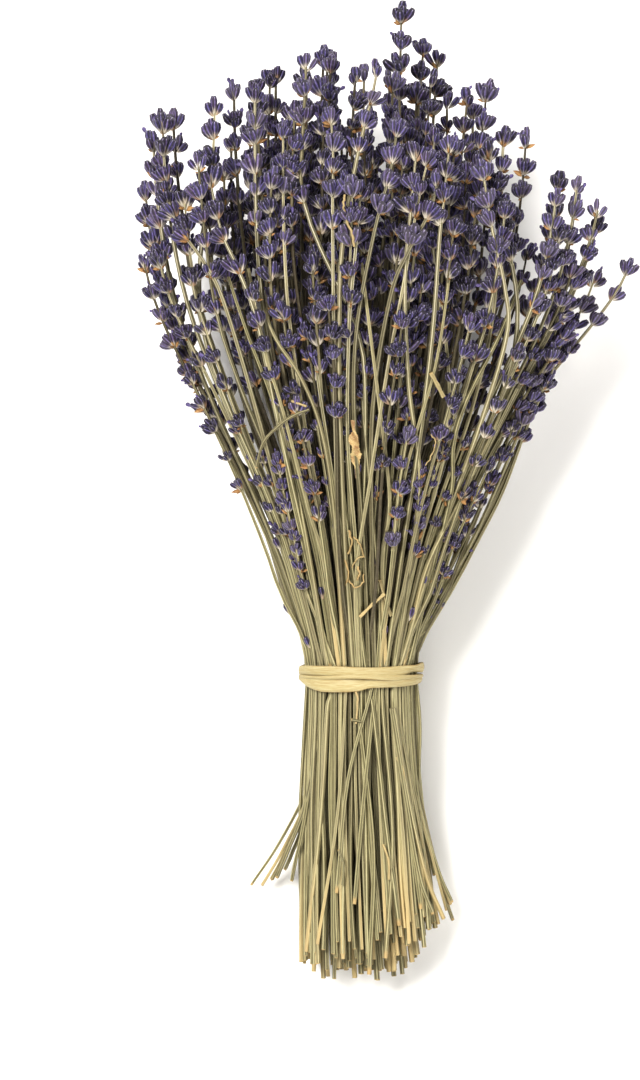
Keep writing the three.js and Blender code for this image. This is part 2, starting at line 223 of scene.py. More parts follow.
def make_fibre_group() -> NodeTree:
    """Builds the lengthwise streaks and the blotches that dried stalks and the raffia share.

    Returns:
        The group, which puts out a streak value, a blotch value and a height.
    """
    graph, given, out = start_group("dried fibre", (
        ("Round", "INPUT", "Vector"), ("Along", "INPUT", "Float", 0.0), ("Seed", "INPUT", "Float", 0.0),
        ("Fineness", "INPUT", "Float", 3.0), ("Stretch", "INPUT", "Float", 0.06),
        ("Streak", "OUTPUT", "Float"), ("Blotch", "OUTPUT", "Float"), ("Height", "OUTPUT", "Float"),
    ))
    around, along, seed, fineness, stretch = given.outputs[:5]
    x, y, _ = graph.add("ShaderNodeSeparateXYZ", {0: around}).outputs
    seed = graph.times(seed, 41.7)
    fine = graph.join(graph.times(x, fineness), graph.times(y, fineness), graph.times(along, stretch))
    fibres = graph.noise(fine, 2.2, 3.0, seed)
    blotches = graph.noise(graph.join(x, y, graph.times(along, 0.045)), 1.3, 4.0, seed)
    graph.put(out.inputs["Streak"], graph.span(fibres, 0.34, 0.66))
    graph.put(out.inputs["Blotch"], graph.span(blotches, 0.42, 0.72))
    graph.put(out.inputs["Height"], fibres)
    return graph.tree


def make_fade_group() -> NodeTree:
    """Builds the fade and dust that dried plants share: each piece is paler, duller or browner than the next.

    Returns:
        The group, which puts out a colour.
    """
    graph, given, out = start_group("fade and dust", (
        ("Colour", "INPUT", "Color"), ("Faded", "INPUT", "Color"), ("Tint", "INPUT", "Float", 0.5),
        ("Amount", "INPUT", "Float", 0.5), ("Speckle", "INPUT", "Float", 0.2), ("Colour", "OUTPUT", "Color"),
    ))
    colour, faded, shade, amount, speckle = given.outputs[:5]
    pale = graph.mix(graph.times(graph.span(shade, 0.25, 1.0), amount), colour, faded)
    dust = graph.noise(graph.add("ShaderNodeTexCoord").outputs["Object"], 900.0, 3.0)
    dusty = graph.mix(graph.times(graph.span(dust, 0.5, 0.75), speckle), pale, faded)
    graph.put(out.inputs["Colour"], dusty)
    return graph.tree


# ---------------------------------------------------------------- finishes


class Surface(NodeGraph):
    """A material's graph: the piece's own attributes go in, and a colour, a roughness and a relief come out."""

    def __init__(self, name: str, fibre: NodeTree, fade: NodeTree) -> None:
        """Starts a material with its shader.

        Args:
            name: The material's name.
            fibre: The shared fibre group.
            fade: The shared fade group.
        """
        self.material = bpy.data.materials.new(name)
        self.material.use_nodes = True
        super().__init__(self.material.node_tree)
        self.fibre, self.fade = fibre, fade
        self.shader = next(n for n in self.tree.nodes if n.type == "BSDF_PRINCIPLED")

    def read(self, name: str, output: str = "Fac") -> NodeSocket:
        """Reads one of the piece's own attributes."""
        return self.add("ShaderNodeAttribute", attribute_name=name).outputs[output]

    def place(self) -> NodeSocket:
        """Where a point of the piece is, in metres."""
        return self.add("ShaderNodeTexCoord").outputs["Object"]

    def give(self, name: str, value: Any) -> None:
        """Gives the shader a value or a socket."""
        self.put(self.shader.inputs[name], value)

    def streaks(self, around: Any, along: Any, seed: Any, fineness: float, stretch: float) -> tuple:
        """Runs the shared fibre group.

        Args:
            around: The place round the stalk.
            along: The place along it, in mm.
            seed: What makes each stalk's streaks its own.
            fineness: How fine the streaks are.
            stretch: How short they are.

        Returns:
            The streak value, the blotch value and the height.
        """
        inputs = {"Round": around, "Along": along, "Seed": seed, "Fineness": fineness, "Stretch": stretch}
        return tuple(self.add("ShaderNodeGroup", inputs, node_tree=self.fibre).outputs)

    def dust(self, colour: Any, shade: Any, faded: str, amount: float, speckle: float) -> None:
        """Fades and dusts a colour, and gives it to the shader.

        Args:
            colour: The colour's socket.
            shade: The piece's own tint.
            faded: The hex colour that it fades to.
            amount: How far it fades.
            speckle: How much dust lies on it.
        """
        inputs = {"Colour": colour, "Tint": shade, "Faded": tint(faded), "Amount": amount, "Speckle": speckle}
        self.give("Base Color", self.add("ShaderNodeGroup", inputs, node_tree=self.fade).outputs[0])

    def emboss(self, height: Any, strength: float, distance: float = 0.0003) -> None:
        """Gives the shader a fine relief."""
        inputs = {"Strength": strength, "Distance": distance, "Height": height}
        self.give("Normal", self.add("ShaderNodeBump", inputs).outputs[0])


@dataclass(frozen=True)
class Finish:
    """What every finish has: a name, and a way to its material."""

    name: str

    def build(self, fibre: NodeTree, fade: NodeTree) -> Material:
        """Makes the material.

        Args:
            fibre: The shared fibre group.
            fade: The shared fade group.

        Returns:
            The material.
        """
        look = Surface(self.name, fibre, fade)
        self.coat(look)
        return look.material

    def coat(self, look: Surface) -> None:
        """Gives the shader its colour, roughness and relief, in the finish's own way."""
        raise NotImplementedError


@dataclass(frozen=True)
class StalkFinish(Finish):
    """Dried square stalks: pale straw ridges with painted highlights, olive and brown streaks, painted shade, tan pith
    where they are cut.
    """

    name: str = "dried stalk"
    # Pale straw of the ridges, partly their own colour and partly a painted highlight.
    ridge: str = "CCC39E"
    straw: str = "A29B70"
    olive: str = "767048"
    brown: str = "5C4A30"
    pith: str = "AA9162"
    # Tan of the browned low ends, kept pale so that it also paints light on them.
    ochre: str = "BFA36C"
    bleached: str = "D2CBBB"
    # Painted shadow colour, laid on the darker inner stalks and in the grooves.
    shadow: str = "32271A"
    faded: str = "B9AE86"
    roughness: float = 0.62
    matter: float = 0.12
    fineness: float = 2.6
    stretch: float = 0.07
    fade: float = 0.3
    speckle: float = 0.12
    relief: float = 0.6

    def coat(self, look: Surface) -> None:
        """Paints ridges with a painted highlight, stains, painted shade on the inner stalks and in the grooves, the
        ochre low ends, partly painted light, and the bleached tops.

        Args:
            look: The surface to paint.
        """
        reach, shade, rim = (look.read(name) for name in ("reach", "tint", "ridge"))
        streak, blotch, height = look.streaks(look.read("grain", "Vector"), reach, shade, self.fineness, self.stretch)
        # How light the stalk is drawn: a low value gets painted shade, a high one the bleached top.
        mood = look.fraction(shade, HUE_STEPS)
        base = look.mix(streak, tint(self.olive), tint(self.straw))
        # Ridges painted paler: their own straw and a painted highlight.
        base = look.paint(base, self.ridge, look.span(rim, 0.35, 1.0), 0.55)
        base = look.paint(base, self.brown, blotch, look.span(shade, 0.2, 0.95, 0.1, 0.75))
        base = look.paint(base, self.olive, look.span(shade, 0.3, 0.0), 0.35)
        # Painted shade: stalks with a low tint, the inner ones most, darken towards the shadow colour, less so near
        # their cut ends.
        base = look.paint(base, self.shadow, look.span(mood, 0.8, 0.0), look.span(reach, 4.0, 150.0, 0.3, 0.95))
        # Painted shade in the grooves between the ridges.
        base = look.paint(base, self.shadow, look.span(rim, 0.55, 0.0), 0.75)
        # Ochre low ends: the stems' own browning, kept pale as painted light on the shaded ends.
        low = look.times(look.span(reach, 2.0, 48.0, 1.0, 0.0), look.span(shade, 0.4, 0.85, 0.0, 0.7))
        base = look.paint(base, self.ochre, low)
        top = look.times(look.span(reach, 150.0, 290.0, 0.0, 0.6), look.span(rim, 0.15, 0.9))
        base = look.paint(base, self.bleached, top, look.span(mood, 0.2, 0.8))
        base = look.paint(base, self.pith, look.span(look.read("pith"), 0.35, 0.75))
        look.dust(base, shade, self.faded, self.fade, self.speckle)
        look.give("Roughness", look.span(streak, 0.0, 1.0, self.roughness + self.matter, self.roughness))
        look.emboss(height, self.relief)


@dataclass(frozen=True)
class CalyxFinish(Finish):
    """Dried flower cups: a straw foot, a deep blue-violet body and greyish lilac ribs."""

    name: str = "dried calyx"
    foot: str = "C2B8A4"
    amber: str = "967048"
    body: str = "392E6F"
    plum: str = "452A5A"
    deep: str = "150D1E"
    rib: str = "8276AC"
    rim: str = "C2BAD2"
    grey: str = "5E5262"
    faded: str = "9E95A2"
    roughness: float = 0.7
    sheen: float = 0.1
    sheen_roughness: float = 0.5
    felt_scale: float = 1500.0
    fade: float = 0.12
    speckle: float = 0.18
    relief: float = 0.4
    relief_depth: float = 0.0002

    def coat(self, look: Surface) -> None:
        """Paints the body by each cup's tint, then grooves, ribs, tips and teeth, and the foot over them.

        Args:
            look: The surface to paint.
        """
        along, shade, rim = (look.read(name) for name in ("along", "tint", "ridge"))
        felt = look.noise(look.place(), self.felt_scale, 3.0)
        hue = look.mix(look.span(look.fraction(shade, 5.7), 0.45, 0.85), tint(self.body), tint(self.plum))
        body = look.mix(look.span(shade, -0.05, 0.65), tint(self.deep), hue)
        body = look.paint(body, self.grey, look.span(shade, 0.4, 0.9), 0.6)
        colour = look.mix(look.span(rim, 0.05, 0.8), tint(self.deep), body)
        colour = look.paint(colour, self.rib, look.span(rim, 0.55, 1.0), look.span(felt, 0.3, 0.65, 0.25, 0.75))
        colour = look.paint(colour, self.deep, look.span(along, 0.7, 0.95), 0.4)
        colour = look.paint(colour, self.rim, look.span(along, 0.86, 1.0), look.span(rim, 0.6, 1.0, 0.0, 0.7))
        level = look.math("ADD", along, look.times(shade, 0.22))
        level = look.math("SUBTRACT", level, look.times(rim, 0.24))
        rusty = look.span(look.fraction(shade, 13.3), 0.62, 0.95, 0.0, 0.85)
        foot = look.mix(rusty, tint(self.foot), tint(self.amber))
        colour = look.mix(look.span(level, 0.06, 0.48, 1.0, 0.0), colour, foot)
        look.dust(colour, shade, self.faded, self.fade, self.speckle)
        look.give("Roughness", self.roughness)
        look.give("Sheen Weight", self.sheen)
        look.give("Sheen Roughness", self.sheen_roughness)
        look.emboss(felt, self.relief, self.relief_depth)


@dataclass(frozen=True)
class ScaleFinish(Finish):
    """Papery dried scales: the bracts under the cups, petal bits and curled leaves."""

    light: str
    dark: str
    vein: str
    roughness: float = 0.66
    patch_scale: float = 420.0
    vein_scale: float = 2600.0
    fade: float = 0.15
    speckle: float = 0.1
    relief: float = 0.4

    def coat(self, look: Surface) -> None:
        """Paints patches, darker edges and fine veins.

        Args:
            look: The surface to paint.
        """
        along, shade, place = look.read("along"), look.read("tint"), look.place()
        patches, veins = look.noise(place, self.patch_scale, 4.0), look.noise(place, self.vein_scale, 2.0)
        share = look.math("ADD", look.span(patches, 0.35, 0.7, 0.0, 0.6), look.times(shade, 0.4))
        colour = look.mix(share, tint(self.light), tint(self.dark))
        colour = look.paint(colour, self.dark, look.span(along, 0.55, 1.0), 0.5)
        colour = look.paint(colour, self.vein, look.span(veins, 0.5, 0.7), 0.4)
        look.dust(colour, shade, self.light, self.fade, self.speckle)
        look.give("Roughness", self.roughness)
        look.emboss(veins, self.relief)


@dataclass(frozen=True)
class RaffiaFinish(Finish):
    """The flat tie: cream raffia with fine lengthwise fibres, ochre stains and painted shade along the strands' edges.
    """

    name: str = "cream raffia"
    cream: str = "B3A980"
    straw: str = "A18F60"
    # Ochre for the stains, and for the painted shade along the strands' edges.
    seam: str = "7A5A2C"
    roughness: float = 0.5
    matter: float = 0.15
    pattern: float = 0.3
    fineness: float = 6.0
    stretch: float = 0.12
    tint: float = 0.5
    fade: float = 0.1
    speckle: float = 0.15
    relief: float = 0.5

    def coat(self, look: Surface) -> None:
        """Paints fibres, stains and painted shade at the strands' edges.

        Args:
            look: The surface to paint.
        """
        reach, across = look.read("reach"), look.read("across")
        around = look.join(across, 0.0, 0.0)
        streak, blotch, height = look.streaks(around, reach, self.pattern, self.fineness, self.stretch)
        colour = look.mix(streak, tint(self.straw), tint(self.cream))
        colour = look.paint(colour, self.seam, blotch, 0.22)
        # Painted shade along the strands' edges, in the seam colour.
        colour = look.paint(colour, self.seam, look.span(look.math("ABSOLUTE", across), 0.82, 1.0), 0.5)
        look.dust(colour, self.tint, self.cream, self.fade, self.speckle)
        look.give("Roughness", look.span(streak, 0.0, 1.0, self.roughness + self.matter, self.roughness))
        look.emboss(height, self.relief)


@dataclass(frozen=True)
class FloorFinish(Finish):
    """A plain pale floor with the faintest mottle."""

    name: str = "pale floor"
    light: str = "F4F3F1"
    dark: str = "EEEDEA"
    roughness: float = 0.9
    mottle_scale: float = 3.0

    def coat(self, look: Surface) -> None:
        """Paints the mottle.

        Args:
            look: The surface to paint.
        """
        mottle = look.span(look.noise(look.place(), self.mottle_scale, 2.0), 0.3, 0.7)
        look.give("Base Color", look.mix(mottle, tint(self.light), tint(self.dark)))
        look.give("Roughness", self.roughness)


@dataclass
class Finishes:
    """Every material of the bunch, built once."""

    stalk: Material
    calyx: Material
    bract: Material
    petal: Material
    leaf: Material
    raffia: Material
    floor: Material

    @classmethod
    def build(cls) -> "Finishes":
        """Builds the shared groups and all the materials.

        Returns:
            The materials.
        """
        groups = make_fibre_group(), make_fade_group()
        finishes = (
            StalkFinish(),
            CalyxFinish(),
            ScaleFinish("ochre bract", "B28A56", "6E4426", "C4A878"),
            ScaleFinish("dried petal", "6F6498", "3A2D4C", "8A80A8"),
            ScaleFinish("curled leaf", "C2AE78", "7E4C28", "DCCBAA"),
            RaffiaFinish(),
            FloorFinish(),
        )
        return cls(*(finish.build(*groups) for finish in finishes))




# ---------------------------------------------------------------- the plan of sprays


class SeededRandom:
    """The same small seeded generator as in the part's source."""

    def __init__(self, seed: int) -> None:
        """Starts from a seed."""
        self.state = seed & 0xFFFFFFFF

    def __call__(self) -> float:
        """Draws a number from 0 to 1.

        Returns:
            The number.
        """
        self.state = (self.state + 0x6D2B79F5) & 0xFFFFFFFF
        state = self.state
        mixed = ((state ^ (state >> 15)) * (state | 1)) & 0xFFFFFFFF
        mixed ^= (mixed + (((mixed ^ (mixed >> 7)) * (mixed | 61)) & 0xFFFFFFFF)) & 0xFFFFFFFF
        return ((mixed ^ (mixed >> 14)) & 0xFFFFFFFF) / 4294967296

    def between(self, low: float, high: float) -> float:
        """Draws a number from low to high."""
        return low + (high - low) * self()

    def shade(self, low: float, high: float) -> float:
        """Draws a stalk's tint: its hue, and in its finer part how light it is."""
        return (int(HUES * self()) + self.between(low, high)) / HUE_STEPS

    def wander(self, least: float, most: float, fastest: float = 0.06) -> tuple:
        """Draws how a stem wanders: how far, how fast and from where."""
        return self.between(least, most), self.between(0.03, fastest), 6.3 * self()

    def steps(self, count: int, first: float, low: float, high: float, widening: float = 0.6) -> np.ndarray:
        """Draws how far under the tip the rims of a spike's whorls lie.

        Args:
            count: How many whorls it has.
            first: How far the first one lies under the tip.
            low: The least distance from one to the next.
            high: The most.
            widening: How much larger the distance gets from one to the next.

        Returns:
            The distances from the tip.
        """
        return np.cumsum([first] + [self.between(low, high) + widening * i for i in range(count - 1)])


def smoothstep(value: Any, low: float, high: float) -> Any:
    """Rises smoothly from 0 at low to 1 at high."""
    share = np.clip((np.asarray(value, float) - low) / (high - low), 0.0, 1.0)
    return share * share * (3 - 2 * share)


def draw_smooth(points: list, steps: int = 8) -> np.ndarray:
    """Draws a smooth line through points.

    Args:
        points: The points, in mm.
        steps: How many steps lead from each to the next.

    Returns:
        The line's points.
    """
    points = np.array(points)
    ends = np.concatenate([[2 * points[0] - points[1]], points, [2 * points[-1] - points[-2]]])
    line = []
    for first, start, end, last in zip(ends, ends[1:], ends[2:], ends[3:]):
        for t in np.arange(steps) / steps:
            bend = (2 * first - 5 * start + 4 * end - last) * t * t + (3 * start - first - 3 * end + last) * t**3
            line.append(0.5 * (2 * start + (end - first) * t + bend))
    return np.array(line + [points[-1]])


@dataclass(frozen=True)
class Row:
    """One closed row of sprays: shares of the outermost row's half width and half depth, and its counts."""

    name: str
    width: float
    depth: float
    sprays: int
    whorls: int
    arcs: int
    drops: tuple


@dataclass
class Spray:
    """A stem with its spike."""

    u: float
    v: float
    cut: float
    tip: float
    levels: list
    splay: float = 0.0
    full: float = 100.0
    outward: float = 0.0
    sway: tuple = (0.0, 0.0)
    lean: tuple = (0.0, 0.0, 0.0, 1.0)
    turn: float = 0.0
    shift: tuple = (0.0, 0.0)
    settle: tuple = (-150.0, 60.0)
    wander: tuple = (0.0, 0.0, 0.0)

    @property
    def foot(self) -> float:
        """Where the spike starts."""
        return self.tip - self.levels[-1] - 6.0


@dataclass
class BunchPlan:
    """The bunch's outline, its rows of sprays and where they lie, as in the part's source."""

    seed: int = 7
    tie_y: float = -67.0
    tip_y: float = 166.0
    cut_y: float = -180.0
    outline: tuple = (
        (-180, 25.5, 17), (-120, 22, 15), (-67, 19.6, 13.4), (-30, 29, 20), (0, 41.5, 28),
        (35, 59, 38.5), (70, 74, 47), (105, 81, 51), (150, 84, 52.5), (190, 85, 53),
    )
    axis_height: float = 13.1
    axis_slope: float = 0.141
    axis_drift: tuple = (5.0, 4.0)
    row_phase: float = -0.3
    stem_radius: float = 1.15
    levels: tuple = (5, 13, 21.5, 31, 41.5, 54)
    touching: float = 6.9
    dome: tuple = (50.0, 17.0, 2.2)
    cut_rise: tuple = (12.0, 8.0)
    cut_spread: float = 7.0
    tip_spread: float = 6.0
    splay: float = 9.0
    low_start: float = 22.0
    low_outward: float = 4.6
    sway: float = 1.6
    least_splayed: float = -0.6
    least_stem: float = 0.2
    least_spike: float = 3.3
    softness: float = 0.6
    rows: tuple = (
        Row("outer", 1.0, 1.0, 30, 6, 4, (0, 45)),
        Row("second", 0.845, 0.75, 24, 5, 3, (0, 30)),
        Row("third", 0.69, 0.5, 18, 5, 2, (0, 16)),
        Row("fourth", 0.53, 0.25, 12, 5, 2, (0,)),
        Row("inner", 0.34, 0.0, 4, 5, 1, (0,)),
    )
    standing_out: tuple = (("fourth", 1, 16, 0), ("outer", 0, -8, 18), ("outer", 8, -16, 3))
    sprays: dict = field(default_factory=dict)
    shift: tuple = (0.0, 0.0)

    def __post_init__(self) -> None:
        """Makes every row's sprays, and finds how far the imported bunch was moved."""
        random = SeededRandom(self.seed)
        for row in self.rows:
            way = self.way_round(row)
            sprays = self.make_row(row, way, random)
            for first, second in zip(sprays[::2], sprays[1::2]):
                self.join_pair(first, second)
            self.sprays[row.name] = sprays
        low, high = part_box("tie")
        middle = (low + high) / 2 / MM
        self.shift = (middle.x, middle.y - self.tie_y)

    def slope(self, index: int, column: int) -> float:
        """The outline's slope at one of its rows, level at the tie.

        Args:
            index: The row of the outline.
            column: 1 for its width or 2 for its depth.

        Returns:
            The slope.
        """
        before = self.outline[max(index - 1, 0)]
        after = self.outline[min(index + 1, len(self.outline) - 1)]
        if before[0] < self.tie_y < after[0]:
            return 0.0
        return (after[column] - before[column]) / (after[0] - before[0])

    def outline_at(self, y: Any, column: int) -> np.ndarray:
        """The outermost row's half width (column 1) or half depth (column 2) at a level.

        Args:
            y: The levels.
            column: 1 for the width or 2 for the depth.

        Returns:
            The half sizes, in mm.
        """
        y = np.atleast_1d(np.asarray(y, float))
        levels = np.array([row[0] for row in self.outline], float)
        index = np.clip(np.searchsorted(levels, y, side="right") - 1, 0, len(levels) - 2)
        values = np.array([row[column] for row in self.outline], float)
        slopes = np.array([self.slope(i, column) for i in range(len(levels))])
        length = levels[index + 1] - levels[index]
        t = (y - levels[index]) / length
        rise, arrive = slopes[index] * length, slopes[index + 1] * length
        change = values[index + 1] - values[index]
        return values[index] + t * (rise + t * (3 * change - 2 * rise - arrive + t * (rise + arrive - 2 * change)))

    def axis_at(self, y: Any) -> tuple:
        """The middle line's place across and its height at a level.

        Args:
            y: The levels.

        Returns:
            The places across and the heights, in mm.
        """
        y = np.asarray(y, float)
        above = np.maximum(0.0, y - self.tie_y) / (self.tip_y - self.tie_y)
        below = np.maximum(0.0, self.tie_y - y) / (self.tie_y - self.cut_y)
        across = self.axis_drift[0] * above**2 + self.axis_drift[1] * below**2
        return across, self.axis_height + self.axis_slope * (y - self.cut_y)

    def way_round(self, row: Row) -> tuple:
        """Points round a row, with the length of the way to each at the heads' widest section.

        Args:
            row: The row.

        Returns:
            The points, and the length of the way to each.
        """
        angles = 2 * np.pi * np.arange(721) / 720
        points = np.stack([row.width * np.cos(angles), row.depth * np.sin(angles)], axis=1)
        _, width, depth = self.outline[-3]
        steps = np.hypot(*(np.diff(points, axis=0) * (width, depth)).T)
        return points, np.concatenate([[0.0], np.cumsum(steps)])

    def point_round(self, row: Row, way: tuple, share: float) -> tuple:
        """A point of a row at a share of its way round.

        Args:
            row: The row.
            way: Its points and lengths.
            share: The share.

        Returns:
            The point's shares across and in depth.
        """
        if row.depth == 0:
            return row.width * (2 * share - 1), 0.0
        points, lengths = way
        wanted = (share % 1.0) * lengths[-1]
        return tuple(float(np.interp(wanted, lengths, points[:, i])) for i in (0, 1))

    def dome_at(self, u: float, v: float) -> float:
        """The height of the tips: high in the middle and on the left, lower on the right.

        Args:
            u: A place across, as a share.
            v: A place in depth, as a share.

        Returns:
            The level.
        """
        out = math.hypot(u, v)
        side = u / out if out > 0 else 0.0
        fall, tilt, roundness = self.dome
        return self.tip_y - (fall + tilt * side) * out**roundness

    def cut_at(self, u: float, v: float) -> float:
        """Where a stem is cut: the outermost are shorter, and more so on the right."""
        out = math.hypot(u, v)
        mean, tilt = self.cut_rise
        return self.cut_y + (mean * out + tilt * u) * out**2

    def make_row(self, row: Row, way: tuple, random: SeededRandom) -> list:
        """Makes a row's sprays in pairs, in the same order of draws as the part's source.

        Args:
            row: The row.
            way: Its way round.
            random: The plan's draws.

        Returns:
            The sprays.
        """
        sprays = []
        levels = list(self.levels[: row.whorls])
        phase = 0.5 if row.depth == 0 else self.row_phase
        for pair in range(row.sprays // 2):
            extra = next((one for one in self.standing_out if one[:2] == (row.name, pair)), None)
            sites = [self.point_round(row, way, (2 * pair + place + phase) / row.sprays) for place in (0, 1)]
            drop = row.drops[pair % len(row.drops)]
            high = self.dome_at(*sites[0]) + self.tip_spread * (random() - 0.5) - drop + (extra[2] if extra else 0)
            low = high - levels[-1] + levels[1]
            tips = (high, low) if pair % 2 == 0 else (low, high)
            splay = extra[3] if extra else self.splay * random() ** 2 * row.width**8 * (1 - drop / 100)
            for (u, v), tip in zip(sites, tips):
                is_low = tip - levels[-1] < self.low_start
                cut = self.cut_at(u, v) + self.cut_spread * random()
                spray = Spray(u, v, cut, tip, levels[:-1] if is_low and tip == low else list(levels))
                spray.splay, spray.full = (splay if v > self.least_splayed else 0.0), high
                spray.outward = self.low_outward if is_low else 0.0
                spray.sway = (self.sway * (random() - 0.5), self.sway * (random() - 0.5))
                spray.turn = 2 * math.pi * random()
                sprays.append(spray)
        return sprays

    def lift(self, y: Any, z: Any) -> np.ndarray:
        """Presses a middle line up where it would go through the surface.

        Args:
            y: The line's levels.
            z: Its heights.

        Returns:
            The heights, none under the surface.
        """
        share = smoothstep(y, -100, 40)
        least = self.least_stem + (self.least_spike - self.least_stem) * share
        over = z - least
        return least + (over + np.hypot(over, self.softness)) / 2

    def points_at(self, spray: Spray, levels: Any) -> np.ndarray:
        """The middle of a spray at levels of the bunch, in mm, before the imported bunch's move.

        Args:
            spray: The spray.
            levels: The levels.

        Returns:
            The points.
        """
        y = np.atleast_1d(np.asarray(levels, float))
        across, height = self.axis_at(y)
        round_share = smoothstep(y, *spray.settle)
        u = spray.u + spray.shift[0] * (1 - round_share)
        v = spray.v + spray.shift[1] * (1 - round_share)
        out = math.hypot(spray.u, spray.v) or 1.0
        moved = spray.outward * smoothstep(y, self.tie_y + 7, self.tie_y + 35)
        moved = moved + spray.splay * smoothstep(y, 0, spray.full) ** 2
        swaying = smoothstep(y, 0, 110)
        leaning = smoothstep(y, spray.lean[2], spray.lean[3])
        bend, speed, start = spray.wander
        roam = bend * np.sin(speed * y + start) * smoothstep(np.abs(y - self.tie_y), 8, 60)
        x = across + u * self.outline_at(y, 1) + moved * spray.u / out
        x = x + spray.sway[0] * swaying + spray.lean[0] * leaning + roam
        z = height + v * self.outline_at(y, 2) + moved * spray.v / out
        z = z + spray.sway[1] * swaying + spray.lean[1] * leaning
        return np.stack([x, y, self.lift(y, z)], axis=1)

    def on_front(self, x: float, y: float, over: float) -> np.ndarray:
        """A point on the upper side of the stems.

        Args:
            x: Its place across, from the tie's middle.
            y: Its level.
            over: How far it is over the outermost row's middle lines.

        Returns:
            The point, in mm.
        """
        middle, height = self.axis_at(y)
        width, depth = (float(self.outline_at(y, column)[0]) for column in (1, 2))
        share = min(1.0, abs(x - float(middle)) / width)
        return np.array([x, y, float(height) + depth * math.sqrt(1 - share * share) + over])

    def join_pair(self, first: Spray, second: Spray) -> None:
        """Lets two neighbours lean towards each other until their level whorls touch.

        Args:
            first: A spray.
            second: The spray beside it.
        """
        high, low = (first, second) if first.tip >= second.tip else (second, first)
        high_level, low_level = len(high.levels) - 1, 1
        y = low.tip - low.levels[low_level]
        start, end = self.points_at(high, y)[0], self.points_at(low, y)[0]
        dx, dz = end[0] - start[0], end[2] - start[2]
        distance = math.hypot(dx, dz)
        share = max(0.0, distance - self.touching) / (2 * distance)
        high.lean = (dx * share, dz * share, y - 70, y)
        low.lean = (-dx * share, -dz * share, y - 70, y)
        facing = math.atan2(dz, dx)
        high.turn = high_level * math.pi / 4 - facing
        low.turn = low_level * math.pi / 4 - facing

    def place(self, points: np.ndarray) -> np.ndarray:
        """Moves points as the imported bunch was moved."""
        return points + np.array([self.shift[0], self.shift[1], 0.0])


# ---------------------------------------------------------------- guide meshes


def add_object(name: str, data: Any) -> Object:
    """Makes an object and puts it into the scene."""
    made = bpy.data.objects.new(name, data)
    bpy.context.scene.collection.objects.link(made)
    return made


class Guide:
    """Polylines and loose points with attributes, on their way into a Geometry Nodes tree."""

    def __init__(self) -> None:
        """Starts empty."""
        self.points: list = []
        self.edges: list = []
        self.rows: dict = {"part": [], "width": [], "tint": [], "reach": [], "pith": [], "facing": [], "stretch": []}

    def add_line(
        self, points: np.ndarray, widths: np.ndarray, shade: float, cut: bool = False, behind: float = 0.0,
        husk: bool = False,
    ) -> None:
        """Adds the middle line of a stalk.

        Args:
            points: The line's points, in mm.
            widths: The stalk's radius at each point, in mm.
            shade: The stalk's own tint, from 0 to 1.
            cut: True if the line starts at a cut end.
            behind: How much of the same stalk lies before the line's start, in mm.
            husk: True if the line is tan all along.
        """
        start = len(self.points)
        reach = behind + np.concatenate([[0.0], np.cumsum(np.linalg.norm(np.diff(points, axis=0), axis=1))])
        for index, (point, width) in enumerate(zip(points, widths)):
            self.points.append(np.asarray(point, float))
            self.put(Part.STALK, width, shade, reach[index], 1.0 if husk or (cut and index == 0) else 0.0)
            if index:
                self.edges.append((start + index - 1, start + index))

    def add_sprout(self, part: Part, point: np.ndarray, facing: tuple, stretch: tuple, shade: float) -> None:
        """Adds a point that a cup, bract or petal grows from.

        Args:
            part: Which shape grows there.
            point: Its foot, in mm.
            facing: Its turn, as a quaternion.
            stretch: Its size against the ordinary one, across, through and along.
            shade: Its tint, from 0 to 1.
        """
        self.points.append(point)
        self.put(part, 0.0, shade, 0.0, 0.0, facing, stretch)

    def put(
        self, part: Part, width: float, shade: float, reach: float, pith: float,
        facing: tuple = (1.0, 0.0, 0.0, 0.0), stretch: tuple = (1.0, 1.0, 1.0),
    ) -> None:
        """Stores one point's attributes.

        Args:
            part: What the point stands for.
            width: The stalk's radius there, in mm.
            shade: Its tint.
            reach: How far along the stalk it is, in mm.
            pith: 1 where the stalk is cut or tan, otherwise 0.
            facing: A sprout's turn, as a quaternion.
            stretch: A sprout's size against the ordinary one.
        """
        values = (part.value, width * MM, shade, reach, pith, facing, stretch)
        for row, value in zip(self.rows.values(), values):
            row.append(value)

    def to_object(self, name: str, plan: BunchPlan) -> Object:
        """Makes the guide a mesh object in metres.

        Args:
            name: The object's name.
            plan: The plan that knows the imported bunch's move.

        Returns:
            The object.
        """
        points = plan.place(np.array(self.points)) * MM
        mesh = bpy.data.meshes.new(name)
        mesh.from_pydata([tuple(p) for p in points], self.edges, [])
        kinds = {"part": "INT", "facing": "QUATERNION", "stretch": "FLOAT_VECTOR"}
        for key, row in self.rows.items():
            kind = kinds.get(key, "FLOAT")
            values = np.array(row, int if kind == "INT" else np.float32).ravel()
            data = mesh.attributes.new(key, kind, "POINT").data
            data.foreach_set("vector" if kind == "FLOAT_VECTOR" else "value", values)
        return add_object(name, mesh)


def quaternion(along: np.ndarray, up: np.ndarray) -> tuple:
    """The turn that takes Z to along, with X as near to up as it gets.

    Args:
        along: Where Z goes.
        up: Where X leans.

    Returns:
        The quaternion, w first.
    """
    z = Vector(along).normalized()
    x = Vector(up) - z * Vector(up).dot(z)
    x = x.normalized() if x.length > 1e-6 else z.orthogonal().normalized()
    y = z.cross(x)
    rows = ((x[0], y[0], z[0]), (x[1], y[1], z[1]), (x[2], y[2], z[2]))
    return tuple(Matrix(rows).to_quaternion())


# ---------------------------------------------------------------- geometry trees


@dataclass(frozen=True)
class Shape:
    """A small shape that grows on stems: its girth along its length as pairs of shares, and its section."""

    girths: tuple
    ridges: int
    groove: float
    rings: int


